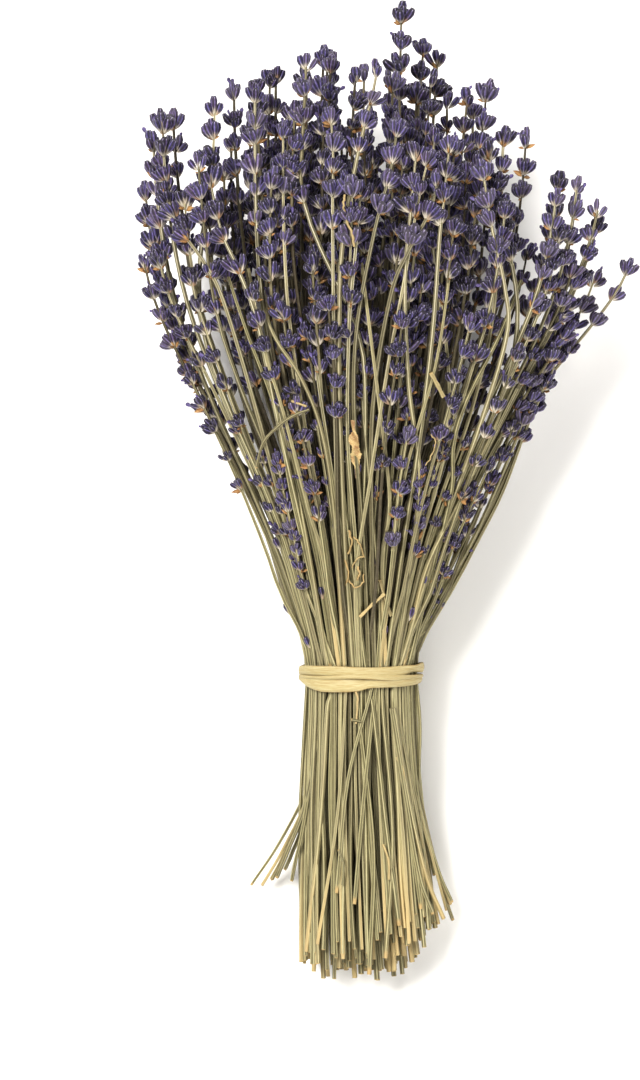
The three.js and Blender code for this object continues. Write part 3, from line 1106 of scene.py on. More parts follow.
class Sprouter:
    """The Geometry Nodes tree that grows stalks, cups, bracts and petals from a guide."""

    SIZES: dict = {
        "Calyx Length": 6.1 * MM,
        "Calyx Girth": 1.46 * MM,
        "Calyx Bend": 1.0 * MM,
        "Bract Length": 3.3 * MM,
        "Bract Girth": 0.95 * MM,
        "Petal Length": 4.4 * MM,
        "Petal Girth": 1.5 * MM,
    }
    SHAPES: dict = {
        Part.CALYX: Shape(((0.0, 0.2), (0.25, 0.62), (0.5, 0.9), (0.78, 1.0), (1.0, 0.66)), 5, 0.78, 5),
        Part.BRACT: Shape(((0.0, 0.2), (0.35, 0.95), (0.6, 0.8), (1.0, 0.06)), 2, 0.35, 4),
        Part.PETAL: Shape(((0.0, 0.15), (0.4, 0.7), (0.75, 1.0), (1.0, 0.35)), 2, 0.3, 5),
    }
    STALK_RIDGES: int = 4
    STALK_GROOVE: float = 0.68
    STALK_TURN: float = 6.0
    TINT_SPREAD: float = 0.16

    def __init__(self, finishes: Finishes, seed: int = 11) -> None:
        """Builds the tree once.

        Args:
            finishes: The bunch's materials.
            seed: The fixed seed of the tints.
        """
        self.tree = bpy.data.node_groups.new("sprigs", "GeometryNodeTree")
        face = self.tree.interface
        face.new_socket("Guide", in_out="INPUT", socket_type="NodeSocketGeometry")
        for name, value in self.SIZES.items():
            face.new_socket(name, in_out="INPUT", socket_type="NodeSocketFloat").default_value = value
        face.new_socket("Seed", in_out="INPUT", socket_type="NodeSocketInt").default_value = seed
        face.new_socket("Sprigs", in_out="OUTPUT", socket_type="NodeSocketGeometry")
        self.graph = graph = NodeGraph(self.tree)
        self.given, out = graph.add("NodeGroupInput").outputs, graph.add("NodeGroupOutput")
        stalks = self.stalks(finishes.stalk)
        cups, bracts, petals = (
            self.sprouts(part, material)
            for part, material in zip(self.SHAPES, (finishes.calyx, finishes.bract, finishes.petal))
        )
        joined = graph.add("GeometryNodeJoinGeometry")
        for part in (petals, bracts, cups, stalks):
            graph.put(joined.inputs[0], part)
        smooth = graph.add("GeometryNodeSetShadeSmooth", {"Geometry": joined.outputs[0]})
        graph.put(out.inputs[0], smooth.outputs[0])

    def attribute(self, name: str, kind: str = "FLOAT") -> NodeSocket:
        """Reads one of the guide's attributes."""
        return self.graph.add("GeometryNodeInputNamedAttribute", {"Name": name}, data_type=kind).outputs[0]

    def store(self, geometry: Any, name: str, value: Any, kind: str = "FLOAT", **settings: Any) -> NodeSocket:
        """Stores a named attribute on geometry."""
        inputs = {"Geometry": geometry, "Name": name, "Value": value}
        return self.graph.add("GeometryNodeStoreNamedAttribute", inputs, data_type=kind, **settings).outputs[0]

    def chosen(self, part: Part) -> NodeSocket:
        """The guide's points of one kind.

        Args:
            part: The kind.

        Returns:
            The points.
        """
        wanted = {2: self.attribute("part", "INT"), 3: part.value}
        same = self.graph.add("FunctionNodeCompare", wanted, data_type="INT", operation="EQUAL").outputs[0]
        inputs = {0: self.given["Guide"], 1: same}
        return self.graph.add("GeometryNodeSeparateGeometry", inputs, domain="POINT").outputs[0]

    def tube(self, curve: Any, ridges: int, groove: float, girth: Any) -> NodeSocket:
        """Draws a ribbed section with its ridge and grain attributes along a curve.

        Args:
            curve: The curve.
            ridges: How many ridges the section has.
            groove: The grooves' radius against the ridges'.
            girth: The ridges' radius along the curve.

        Returns:
            The tube's mesh.
        """
        graph = self.graph
        star = graph.add("GeometryNodeCurveStar", {"Points": ridges, "Inner Radius": groove, "Outer Radius": 1.0})
        place = graph.add("GeometryNodeInputPosition").outputs[0]
        ridged = self.store(star.outputs[0], "ridge", star.outputs["Outer Points"])
        section = self.store(ridged, "grain", place, "FLOAT_VECTOR")
        inputs = {"Curve": curve, "Profile Curve": section, "Scale": girth, "Fill Caps": True}
        return graph.add("GeometryNodeCurveToMesh", inputs).outputs[0]

    def stalks(self, material: Material) -> NodeSocket:
        """Ridged stalks along the guide's lines.

        Args:
            material: The stalks' material.

        Returns:
            The realized and dressed geometry.
        """
        lines = self.graph.add("GeometryNodeMeshToCurve", {0: self.chosen(Part.STALK)}).outputs[0]
        turn = self.graph.times(self.attribute("tint"), self.STALK_TURN)
        turned = self.graph.add("GeometryNodeSetCurveTilt", {"Curve": lines, "Tilt": turn}).outputs[0]
        tubes = self.tube(turned, self.STALK_RIDGES, self.STALK_GROOVE, self.attribute("width"))
        return self.dress(tubes, material)

    def sprouts(self, part: Part, material: Material) -> NodeSocket:
        """One small shape, grown at every point of its kind.

        Args:
            part: The kind of point.
            material: The shape's material.

        Returns:
            The realized and dressed geometry.
        """
        graph, given, shape, title = self.graph, self.given, self.SHAPES[part], part.name.capitalize()
        line = graph.add("GeometryNodeCurvePrimitiveLine", {"End": graph.join(0.0, 0.0, given[f"{title} Length"])})
        steps = graph.add("GeometryNodeResampleCurve", {"Curve": line.outputs[0], "Count": shape.rings})
        share = graph.add("GeometryNodeSplineParameter").outputs["Factor"]
        marked = self.store(steps.outputs[0], "along", share)
        if part is Part.CALYX:
            pull = graph.join(graph.times(graph.math("POWER", share, 2.0), given["Calyx Bend"]), 0.0, 0.0)
            marked = graph.add("GeometryNodeSetPosition", {"Geometry": marked, "Offset": pull}).outputs[0]
        curve = graph.add("ShaderNodeFloatCurve", {"Value": share})
        points = curve.mapping.curves[0].points
        for _ in shape.girths[2:]:
            points.new(0.5, 0.5)
        for point, place in zip(points, shape.girths):
            point.location = place
        curve.mapping.update()
        girth = graph.times(curve.outputs[0], given[f"{title} Girth"])
        inputs = {
            "Points": self.chosen(part),
            "Instance": self.tube(marked, shape.ridges, shape.groove, girth),
            "Rotation": self.attribute("facing", "QUATERNION"),
            "Scale": self.attribute("stretch", "FLOAT_VECTOR"),
        }
        grown = graph.add("GeometryNodeInstanceOnPoints", inputs).outputs[0]
        limits = {2: -self.TINT_SPREAD, 3: self.TINT_SPREAD, "Seed": given["Seed"]}
        shaken = graph.add("FunctionNodeRandomValue", limits, data_type="FLOAT").outputs[1]
        shade = graph.math("ADD", self.attribute("tint"), shaken)
        return self.dress(self.store(grown, "tint", shade, domain="INSTANCE"), material)

    def dress(self, geometry: NodeSocket, material: Material) -> NodeSocket:
        """Realizes the instances and sets the material."""
        real = self.graph.add("GeometryNodeRealizeInstances", {"Geometry": geometry}).outputs[0]
        return self.graph.add("GeometryNodeSetMaterial", {"Geometry": real, "Material": material}).outputs[0]

    def grow(self, guide: Object) -> Object:
        """Runs the tree on a guide and keeps the result as a plain mesh.

        Args:
            guide: The guide object, which becomes the piece.

        Returns:
            The same object with its finished mesh and no modifier.
        """
        modifier = guide.modifiers.new("sprigs", "NODES")
        modifier.node_group = self.tree
        for item in self.tree.interface.items_tree:
            if item.in_out == "INPUT" and item.name in self.SIZES:
                modifier[item.identifier] = self.SIZES[item.name]
        bpy.context.view_layer.update()
        grown = bpy.data.meshes.new_from_object(guide.evaluated_get(bpy.context.evaluated_depsgraph_get()))
        guide.modifiers.clear()
        old, guide.data = guide.data, grown
        bpy.data.meshes.remove(old)
        grown.name = guide.name
        return guide


# ---------------------------------------------------------------- sprays


@dataclass
class SprayMaker:
    """Draws stems and spikes into guides."""

    plan: BunchPlan
    random: SeededRandom
    stem_girth: float = 1.02
    spike_girth: float = 0.7
    tip_girth: float = 0.42
    stem_step: float = 7.5
    cup_spread: tuple = (30.0, 45.0)
    crown_spread: tuple = (4.0, 18.0)
    cup_lengths: tuple = (0.8, 1.1)
    cup_girths: tuple = (0.84, 1.18)
    cup_length: float = 5.0
    petal_chance: float = 0.1
    petal_sizes: tuple = (0.35, 0.7)
    bract_plenty: float = 6.4
    bract_spread: tuple = (25, 85)
    bract_sizes: tuple = (0.5, 1.15)
    whorl_length: float = 5.2
    whorl_tilt: float = 0.42
    whorl_sizes: tuple = (0.84, 1.12)
    whorl_shift: float = 0.9
    tip_whorl: float = 0.7
    fewer_cups: tuple = (-3.6, 1.5)
    thin_from: int = 4
    unevenness: float = 0.22
    fade: float = 1.0
    stalk_moods: tuple = (0.15, 1.0)

    def stalk_shade(self) -> float:
        """Draws a stalk's tint: its hue, and in its finer part how light it is."""
        return self.random.shade(*self.stalk_moods)

    def girth_at(self, y: np.ndarray, spray: Spray, thick: float) -> np.ndarray:
        """A stem's radius at levels: thick at the cut end, thin at the tip.

        Args:
            y: The levels.
            spray: The spray.
            thick: Its thickness against the ordinary one.

        Returns:
            The radii, in mm.
        """
        low = self.stem_girth * thick
        fall = smoothstep(y, self.plan.tie_y, spray.foot)
        rise = np.clip((y - spray.foot) / max(spray.tip - spray.foot, 1.0), 0, 1)
        return (low + (self.spike_girth - low) * fall) + (self.tip_girth - self.spike_girth) * rise

    def add_stem(self, guide: Guide, spray: Spray, thick: float = 1.0) -> None:
        """Adds a spray's stem, from the cut end to the spike's foot.

        Args:
            guide: The guide to add to.
            spray: The spray.
            thick: Its thickness against the ordinary one.
        """
        count = max(8, int((spray.foot - spray.cut) / self.stem_step))
        levels = np.insert(np.linspace(spray.cut, spray.foot + 0.5, count), 1, spray.cut + 0.5)
        points = self.plan.points_at(spray, levels)
        guide.add_line(points, self.girth_at(levels, spray, thick), self.stalk_shade(), cut=True)

    def add_spike(self, guide: Guide, spray: Spray, cups: int, size: float) -> None:
        """Adds a spray's spike: its thin stalk and its whorls of cups.

        Args:
            guide: The guide to add to.
            spray: The spray.
            cups: About how many cups a whorl has.
            size: The cups' size against the ordinary one.
        """
        levels = np.linspace(spray.foot, spray.tip - 5.0, 10)
        widths, path = self.girth_at(levels, spray, 1.0), partial(self.plan.points_at, spray)
        guide.add_line(path(levels), widths, self.stalk_shade(), behind=spray.foot - spray.cut)
        mood = self.random.between(0.0, 0.7) * self.fade
        for index, level in enumerate(spray.levels):
            turn = spray.turn - index * math.pi / 4
            self.add_whorl(guide, path, turn, index, spray.tip - level, cups, size, mood)

    def add_spray(self, stems: Guide, spikes: Guide, spray: Spray, girths: tuple, cups: int, sizes: tuple) -> None:
        """Adds a spray's stem and spike, with the stem's thickness and the cups' size drawn."""
        self.add_stem(stems, spray, self.random.between(*girths))
        self.add_spike(spikes, spray, cups, self.random.between(*sizes))

    def add_whorl(
        self, guide: Guide, path: Callable, turn: float, index: int, rim: float, cups: int, size: float, mood: float
    ) -> None:
        """Adds one whorl of cups with the bracts under it.

        Args:
            guide: The guide to add to.
            path: Gives the stalk's points at levels.
            turn: How far the whorl is turned round the stalk.
            index: The whorl's number from the tip.
            rim: The level of its rim.
            cups: About how many cups it has.
            size: The cups' size.
            mood: The spike's own tint.
        """
        random, top = self.random, index == 0
        rim += 0.0 if top else random.between(-self.whorl_shift, self.whorl_shift)
        foot = rim - self.whorl_length * size * (self.tip_whorl if top else 1.0)
        below, centre, above = path([foot - 1.0, foot, foot + 1.0])
        axis = (above - below) / np.linalg.norm(above - below)
        size *= random.between(*self.whorl_sizes) * (0.74 + 0.26 * float(smoothstep(rim, 0, 70)))
        lean = self.whorl_tilt * (0.4 if top else 1.0)
        axis = axis + np.array([random.between(-lean, lean), 0.0, random.between(-lean, lean)])
        axis /= np.linalg.norm(axis)
        across = np.cross([1.0, 0.0, 0.0], axis)
        across /= np.linalg.norm(across)
        side = np.cross(axis, across)

        def ray(angle: float, degrees: float) -> tuple:
            """The way straight out at an angle, and the way that is so many degrees off the axis."""
            out, tilt = side * math.cos(angle) - across * math.sin(angle), math.radians(degrees)
            return out, axis * math.cos(tilt) + out * math.sin(tilt)

        count = max(2, cups + round(random.between(*self.fewer_cups)) - (2 if top else 0))
        if index >= self.thin_from:
            count = max(2, count - 1 - round(random.between(0, 1.6)))
        shade = min(1.0, max(0.0, mood + random.between(-self.unevenness, self.unevenness)))
        inner = 1 + (1 if top or count > 5 else 0)
        for cup in range(count + inner):
            crown = cup >= count
            angle = turn + 2 * math.pi * ((cup - count + 0.5) / inner if crown else cup / count)
            angle += random.between(-self.unevenness, self.unevenness)
            out, along = ray(angle, random.between(*(self.crown_spread if crown else self.cup_spread)))
            length = size * random.between(*self.cup_lengths) * (0.88 if crown and not top else 1.0)
            girth = size * random.between(*self.cup_girths)
            lift = random.between(0.0, 0.9) + (1.2 if crown else 0.0)
            point = centre + axis * lift + out * (0.2 if crown else 0.55)
            facing = quaternion(along, axis + out * 0.01)
            guide.add_sprout(Part.CALYX, point, facing, (girth, girth, length), shade)
            if random() < self.petal_chance:
                mouth = point + along * (self.cup_length * length)
                small = random.between(*self.petal_sizes)
                bend = along + out * random.between(-0.5, 0.6) + axis * random.between(-0.4, 0.4)
                guide.add_sprout(Part.PETAL, mouth, quaternion(bend, axis), (small, small * 0.6, small), random())
        plenty = random()
        for _ in range(int(plenty * plenty * self.bract_plenty)):
            out, along = ray(2 * math.pi * random(), random.between(*self.bract_spread))
            point = centre + axis * random.between(-0.5, 0.6) + out * 0.5
            big = random.between(*self.bract_sizes)
            wide = big * random.between(0.7, 1.3)
            guide.add_sprout(Part.BRACT, point, quaternion(along, axis), (wide, big * 0.6, big), random())


# ---------------------------------------------------------------- sub-assemblies


def press_on_floor(mesh: Mesh) -> None:
    """Flattens what would go through the floor, as the solids are flattened there.

    Args:
        mesh: The mesh to press.
    """
    places = np.zeros(len(mesh.vertices) * 3, np.float32)
    mesh.vertices.foreach_get("co", places)
    places[2::3] = np.maximum(places[2::3], FLOOR_GAP * MM)
    mesh.vertices.foreach_set("co", places)
    mesh.update()


def finish_piece(piece: Object, slot: Slot, nodes: tuple = ()) -> None:
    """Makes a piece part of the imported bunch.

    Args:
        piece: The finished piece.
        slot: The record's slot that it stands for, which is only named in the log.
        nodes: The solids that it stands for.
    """
    press_on_floor(piece.data)
    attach(piece, BODY)
    if nodes:
        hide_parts(*nodes)
    triangles = sum(len(p.vertices) - 2 for p in piece.data.polygons)
    log.info("%s: %d triangles, slot %s", piece.name, triangles, slot.value)


@dataclass
class Assembly:
    """What every group of sprigs has: the plan, and the tree that grows its guides."""

    plan: BunchPlan
    sprouter: Sprouter

    def grow(self, name: str, guide: Guide, slot: Slot, *nodes: str) -> None:
        """Grows a guide into a finished piece that stands for some solids."""
        finish_piece(self.sprouter.grow(guide.to_object(name, self.plan)), slot, nodes)


@dataclass
class Sprays(Assembly):
    """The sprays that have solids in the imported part: stems by arc and spikes by pair."""

    seed: int = 21
    side: float = 0.7
    stem_girths: tuple = (0.8, 1.1)
    spike_sizes: tuple = (0.94, 1.08)
    outer_moods: tuple = (0.05, 1.0)
    # Low tints that paint shade on the inner rows' stalks.
    shaded_inner_moods: tuple = (0.0, 0.3)

    def build(self) -> None:
        """Builds a piece for each node of stems and of spikes."""
        random = SeededRandom(self.seed)
        maker = SprayMaker(self.plan, random)
        for row in self.plan.rows:
            maker.stalk_moods = self.outer_moods if row.width == 1 else self.shaded_inner_moods
            sprays = self.plan.sprays[row.name]
            ends = [math.floor(arc * row.sprays / row.arcs + 0.5) for arc in range(row.arcs + 1)]
            for arc, (first, end) in enumerate(zip(ends, ends[1:]), start=1):
                guide = Guide()
                for spray in sprays[first:end]:
                    spray.wander = random.wander(0.2, 1.1)
                    maker.add_stem(guide, spray, random.between(*self.stem_girths))
                self.grow(f"fine_stems_{row.name}_{arc}", guide, Slot.STEM, f"stems_{row.name}_{arc}")
            for pair in range(row.sprays // 2):
                guide, number = Guide(), f"{row.name}_{pair + 1:02d}"
                for spray in sprays[2 * pair : 2 * pair + 2]:
                    slim = 1 - 0.15 * abs(spray.u) ** 3
                    cups = 6 if abs(spray.u) > self.side else 7
                    maker.add_spike(guide, spray, cups, slim * random.between(*self.spike_sizes))
                self.grow(f"fine_spikes_{number}", guide, Slot.FLOWER, f"spikes_{number}")


@dataclass
class Fillers(Assembly):
    """Thinner sprays in the rooms between the rows."""

    seed: int = 33
    side: float = 0.5
    side_gaps: float = 0.85
    whorls: int = 6
    # The girth of the stems, the cups of a whorl and the size of the cups.
    sizes: tuple = ((0.78, 1.04), 6, (0.86, 1.04))
    # Each ring's name, width, depth and count of sprays, and how far their tips are under the dome.
    rings: tuple = (
        ("among_outer", 0.97, 0.955, 30, (18, 50, 4, 32, 60, 12)),
        ("near_outer", 0.925, 0.865, 32, (0, 52, 22, 72, 14, 60, 36)),
        ("among_second", 0.825, 0.72, 24, (10, 38, 18)),
        ("near_second", 0.77, 0.63, 23, (4, 42, 12, 62, 26)),
        ("near_third", 0.61, 0.38, 15, (0, 20)),
        ("near_fourth", 0.43, 0.13, 8, (6, 16)),
    )

    def build(self) -> None:
        """Builds a piece of stems and a piece of spikes for each ring."""
        random = SeededRandom(self.seed)
        # The fillers lie inside the bunch: fade below 1 draws their cups darker, partly as less faded colour and partly
        # as painted shade.
        maker = SprayMaker(self.plan, random, stem_girth=0.9, fade=0.8)
        for name, width, depth, count, drops in self.rings:
            row = Row(name, width, depth, count, self.whorls, 1, drops)
            way = self.plan.way_round(row)
            stems, spikes = Guide(), Guide()
            # Low tints paint shade on the fillers' stalks.
            maker.stalk_moods = (0.0, 0.5) if depth > 0.9 else (0.0, 0.3)
            for index in range(count):
                spray = self.make_spray(row, way, index, random)
                if abs(spray.u) > self.side and random() < self.side_gaps:
                    continue
                maker.add_spray(stems, spikes, spray, *self.sizes)
            self.grow(f"stems_{name}", stems, Slot.STEM)
            self.grow(f"spikes_{name}", spikes, Slot.FLOWER)

    def make_spray(self, row: Row, way: tuple, index: int, random: SeededRandom) -> Spray:
        """Makes one thinner spray.

        Args:
            row: Its ring.
            way: The ring's way round.
            index: Its number on the ring.
            random: The ring's draws.

        Returns:
            The spray.
        """
        u, v = self.plan.point_round(row, way, (index + 0.2 + random.between(-0.15, 0.15)) / row.sprays)
        drop = row.drops[index % len(row.drops)] + random.between(-4, 4)
        tip = self.plan.dome_at(u, v) + random.between(-5, 3) - drop
        levels = random.steps(5 + int(random() * 3.4), 5.0, 6.4, 8.8).tolist()
        cut = self.plan.cut_at(u, v) + self.plan.cut_spread * random() + 2 + 14 * random() ** 3
        return Spray(
            u, v, cut, tip, levels,
            turn=2 * math.pi * random(),
            sway=(random.between(-3.2, 3.2), random.between(-1.8, 1.8)),
            shift=(random.between(-0.13, 0.13) - 0.06 * u, -v * random.between(0.1, 0.34)),
            wander=random.wander(0.3, 1.9),
        )


@dataclass
class Outliers(Assembly):
    """Sprays that stand out: some run up over the front of the head, and some lean out at the sides."""

    seed: int = 57
    # Sprays that cross the front: the place across as a share, and how far the tip is over the dome.
    runners: tuple = ((-0.72, 4), (-0.55, 10), (-0.42, -6), (-0.3, 16), (0.27, -4), (0.5, 2), (0.64, 9))
    # Stems over the front that end in spikes: the whorls, then places across, at a level and over the front.
    tall: tuple = (
        (5, ((-6, -64, 0.6), (-8.5, -20, 1.8), (-9.5, 20, 2.4), (-10.2, 58, 2.6), (-10.6, 100, 1.5), (-10.4, 122, -5),
             (-11.6, 141, -11))),
        (4, ((-3, -64, 0.6), (-6, -20, 1.8), (-8, 30, 2.6), (-8.2, 62, 2.8), (-7, 90, 2.6), (-2, 120, -2),
             (4.2, 146, -12), (6, 158, -16))),
        (2, ((0, -64, 0.6), (-2, -20, 2), (-5, 20, 2.6), (-4.7, 58, 3.2), (-2.5, 86, 2.8), (0, 114, -2))),
        (4, ((3, -64, 0.6), (1, -20, 1.8), (-2.5, 25, 2.4), (-2, 58, 2.2), (4.2, 93, 2.2), (10.4, 117, -4),
             (13.5, 137, -10))),
        (4, ((9, -64, 0.6), (15, -20, 1.8), (21, 20, 2.6), (25.5, 58, 3), (28, 93, 2.6), (30, 110, -2),
             (32, 131, -9))),
        (2, ((5, -64, 0.6), (4, -20, 1.6), (4, 30, 2.2), (10.3, 71, 3), (17, 88, 3.4), (25, 103, 1.5),
             (28, 118, -3))),
        (4, ((14, -64, 0.6), (27, -20, 1.4), (43, 25, 2.2), (52.6, 58, 2), (51.7, 75, 2.2), (47, 96, 1.5),
             (43, 121, -5))),
        (4, ((-12, -64, 0.6), (-20, -20, 1.4), (-30, 25, 2.2), (-38, 63, 2.6), (-45, 82, 2.4), (-51, 96, 1),
             (-56, 119, -4))),
        (4, ((-14, -64, 0.6), (-25, -20, 1.2), (-38, 30, 2), (-50, 70, 2), (-57, 84, 2.4), (-66, 97, 1),
             (-71, 110, 0), (-73, 126, -3))),
        (4, ((12, -64, 0.6), (17.5, -30, 1.6), (21, 6, 2.4), (17, 40, 2.6), (15.5, 76, 2.6), (18, 106, 0),
             (20, 128, -8))),
        (4, ((-1, -64, 0.6), (-2, -30, 2.2), (3.5, 8, 2.6), (9, 44, 2.8), (15, 76, 2.4), (20, 104, 0),
             (25, 126, -8))),
        (5, ((17, -64, -4), (24, -50, -2), (33.5, -34, 0), (43, -16, 0), (52, 2, 0), (61, 26, 0), (70, 46, 0),
             (76, 65, 0))),
        (4, ((17.5, -64, -8), (25, -48, -6), (35, -30, -8), (46, -8, -8), (56, 14, -8), (65, 38, -8), (71, 57, -8))),
        (5, ((16, -64, -2), (22, -50, 2), (31, -34, 4), (41, -16, 5), (50, 4, 6), (58, 24, 6), (68, 50, 6),
             (74, 71, 4))),
        (5, ((16, -64, 0), (23, -46, 3), (32, -28, 4), (40, -12, 5), (47, 4, 6), (53, 18, 6), (57, 31, 5))),
    )
    # Low ones in the same way, whose whorls are small and close together.
    strings: tuple = (
        (10, ((-9, -64, 0.6), (-15, -48, 1.4), (-21, -32, 2), (-25, -14, 2.4), (-29, 4, 2.6), (-31, 16, 1.6))),
        (7, ((8, -64, 0.6), (14, -42, 1.6), (19.7, -20, 2.2), (21, -2, 2.4), (21.5, 12, 1.2))),
        (6, ((14, -64, 0.6), (26, -40, 1.2), (36, -19, 1.8), (39, -5, 2), (41, 6, 1.4))),
        (5, ((12, -64, 0.4), (20, -53, 1), (25.8, -45, 1.6), (28.4, -22, 1.4))),
    )
    # Short ones in front: the place across as a share, the tip's level and the whorls.
    low: tuple = (
        (-0.76, 19, 5), (0.84, 8, 5), (0.72, 24, 5), (0.1, 34, 4), (-0.3, 30, 5),
        (-0.86, 30, 5), (0.28, 44, 5), (-0.12, 52, 5), (0.58, 36, 5), (0.9, -10, 4), (-0.48, 40, 5),
    )
    # Those at the sides: places across and in depth as shares, the rise over the dome and the bend outwards.
    leaning: tuple = (
        (0.98, 0.12, -2, 9), (0.95, 0.3, 6, 6), (0.99, -0.12, -22, 10), (0.93, 0.35, -16, 7), (0.9, 0.42, 14, 4),
        (0.97, 0.2, -38, 6), (0.86, 0.5, -8, 6), (0.8, 0.6, 8, 3), (-0.97, 0.2, -4, 3), (-0.98, -0.1, -30, 3),
        (-0.9, 0.42, 4, 3), (-0.93, 0.36, -44, 4), (-0.84, 0.53, -20, 3),
    )
    # The girth of the stems, the cups of a whorl and the size of the cups.
    runner_sizes: tuple = ((0.85, 1.0), 7, (0.92, 1.08))
    low_sizes: tuple = ((0.75, 0.9), 6, (0.72, 0.92))
    leaning_sizes: tuple = ((0.8, 0.95), 7, (0.9, 1.04))

    def build(self) -> None:
        """Builds all their stems as one piece and all their spikes as another."""
        random = SeededRandom(self.seed)
        maker = SprayMaker(self.plan, random, stem_girth=1.0, spike_girth=0.82, tip_girth=0.46, stalk_moods=(0.35, 1.0))
        guides = stems, spikes = Guide(), Guide()
        for u, rise in self.runners:
            spray = self.make_spray(u * 0.96, 0.74 * math.sqrt(1 - u * u), rise + random.between(-3, 3), 0.0, random)
            low = max(-0.85, min(0.85, u + random.between(-0.34, 0.34)))
            spray.shift = (low - spray.u, 1.01 * math.sqrt(1 - low * low) - spray.v)
            spray.settle = (random.between(-10, 50), random.between(110, 145))
            maker.add_spray(*guides, spray, *self.runner_sizes)
        for count, places in self.tall:
            self.add_tall(maker, *guides, count, places)
        for u, tip, count in self.low:
            spray = self.make_spray(u, 0.98 * math.sqrt(1 - u * u), 0.0, 0.0, random)
            spray.tip = spray.full = tip
            spray.levels = spray.levels[:count]
            maker.add_spray(*guides, spray, *self.low_sizes)
        for u, v, rise, splay in self.leaning:
            spray = self.make_spray(u * 0.97, v * 0.97, rise + random.between(-3, 3), splay, random)
            maker.add_spray(*guides, spray, *self.leaning_sizes)
        for count, places in self.strings:
            self.add_tall(maker, *guides, count, places, cups=6, size=0.95, close=0.45)
        self.grow("standing_stems", stems, Slot.STEM)
        self.grow("standing_spikes", spikes, Slot.FLOWER)

    def add_tall(
        self, maker: SprayMaker, stems: Guide, spikes: Guide, count: int, places: tuple,
        cups: int = 7, size: float = 1.0, close: float = 1.0,
    ) -> None:
        """Adds one long stem over the front with its spike.

        Args:
            maker: The maker of stems and spikes.
            stems: The stems' guide.
            spikes: The spikes' guide.
            count: How many whorls it has.
            places: The stem's places, from the tie to the tip.
            cups: About how many cups a whorl has.
            size: The size of its cups and stem.
            close: The whorls' distance against the ordinary one.
        """
        random = maker.random
        line = draw_smooth([self.plan.on_front(*place) for place in places])
        tip = float(line[-1][1])
        steps = close * random.steps(count, 4.5, 6.8, 9.4, 0.7)
        foot = tip - float(steps[-1]) - 5.5
        lower = line[line[:, 1] < foot]
        upper = np.concatenate([lower[-1:], line[(line[:, 1] >= foot) & (line[:, 1] < tip - 4)]])
        girth, shade = size * random.between(0.9, 1.1), maker.stalk_shade()
        stems.add_line(lower, np.linspace(girth, 0.74, len(lower)), shade, behind=110)
        spikes.add_line(upper, np.linspace(0.72, 0.42, len(upper)), shade, behind=foot + 180)

        def path(levels: Any) -> np.ndarray:
            """The stalk's points at levels."""
            x, z = (np.interp(levels, line[:, 1], line[:, i]) for i in (0, 2))
            return np.stack([x, levels, z], 1)

        mood = random.between(0.1, 0.75)
        for index, step in enumerate(steps):
            turn, big = 6.3 * random(), size * random.between(0.92, 1.1)
            maker.add_whorl(spikes, path, turn, index, tip - float(step), cups, big, mood)

    def make_spray(self, u: float, v: float, rise: float, splay: float, random: SeededRandom) -> Spray:
        """Makes one spray that stands out.

        Args:
            u: Its place across, as a share.
            v: Its place in depth, as a share.
            rise: How far its tip is over the dome.
            splay: How far its tip bends outwards, in mm.
            random: The draws.

        Returns:
            The spray.
        """
        levels = random.steps(5 + int(random() * 2), 4.5, 6.6, 9.0).tolist()
        cut, tip = self.plan.cut_at(u, v) + self.plan.cut_spread * random() + 2, self.plan.dome_at(u, v) + rise
        return Spray(
            u, v, cut, tip, levels, splay, tip,
            turn=2 * math.pi * random(),
            sway=(random.between(-3.5, 3.5), random.between(-1.0, 1.0)),
            wander=random.wander(0.2, 0.9, 0.05),
        )


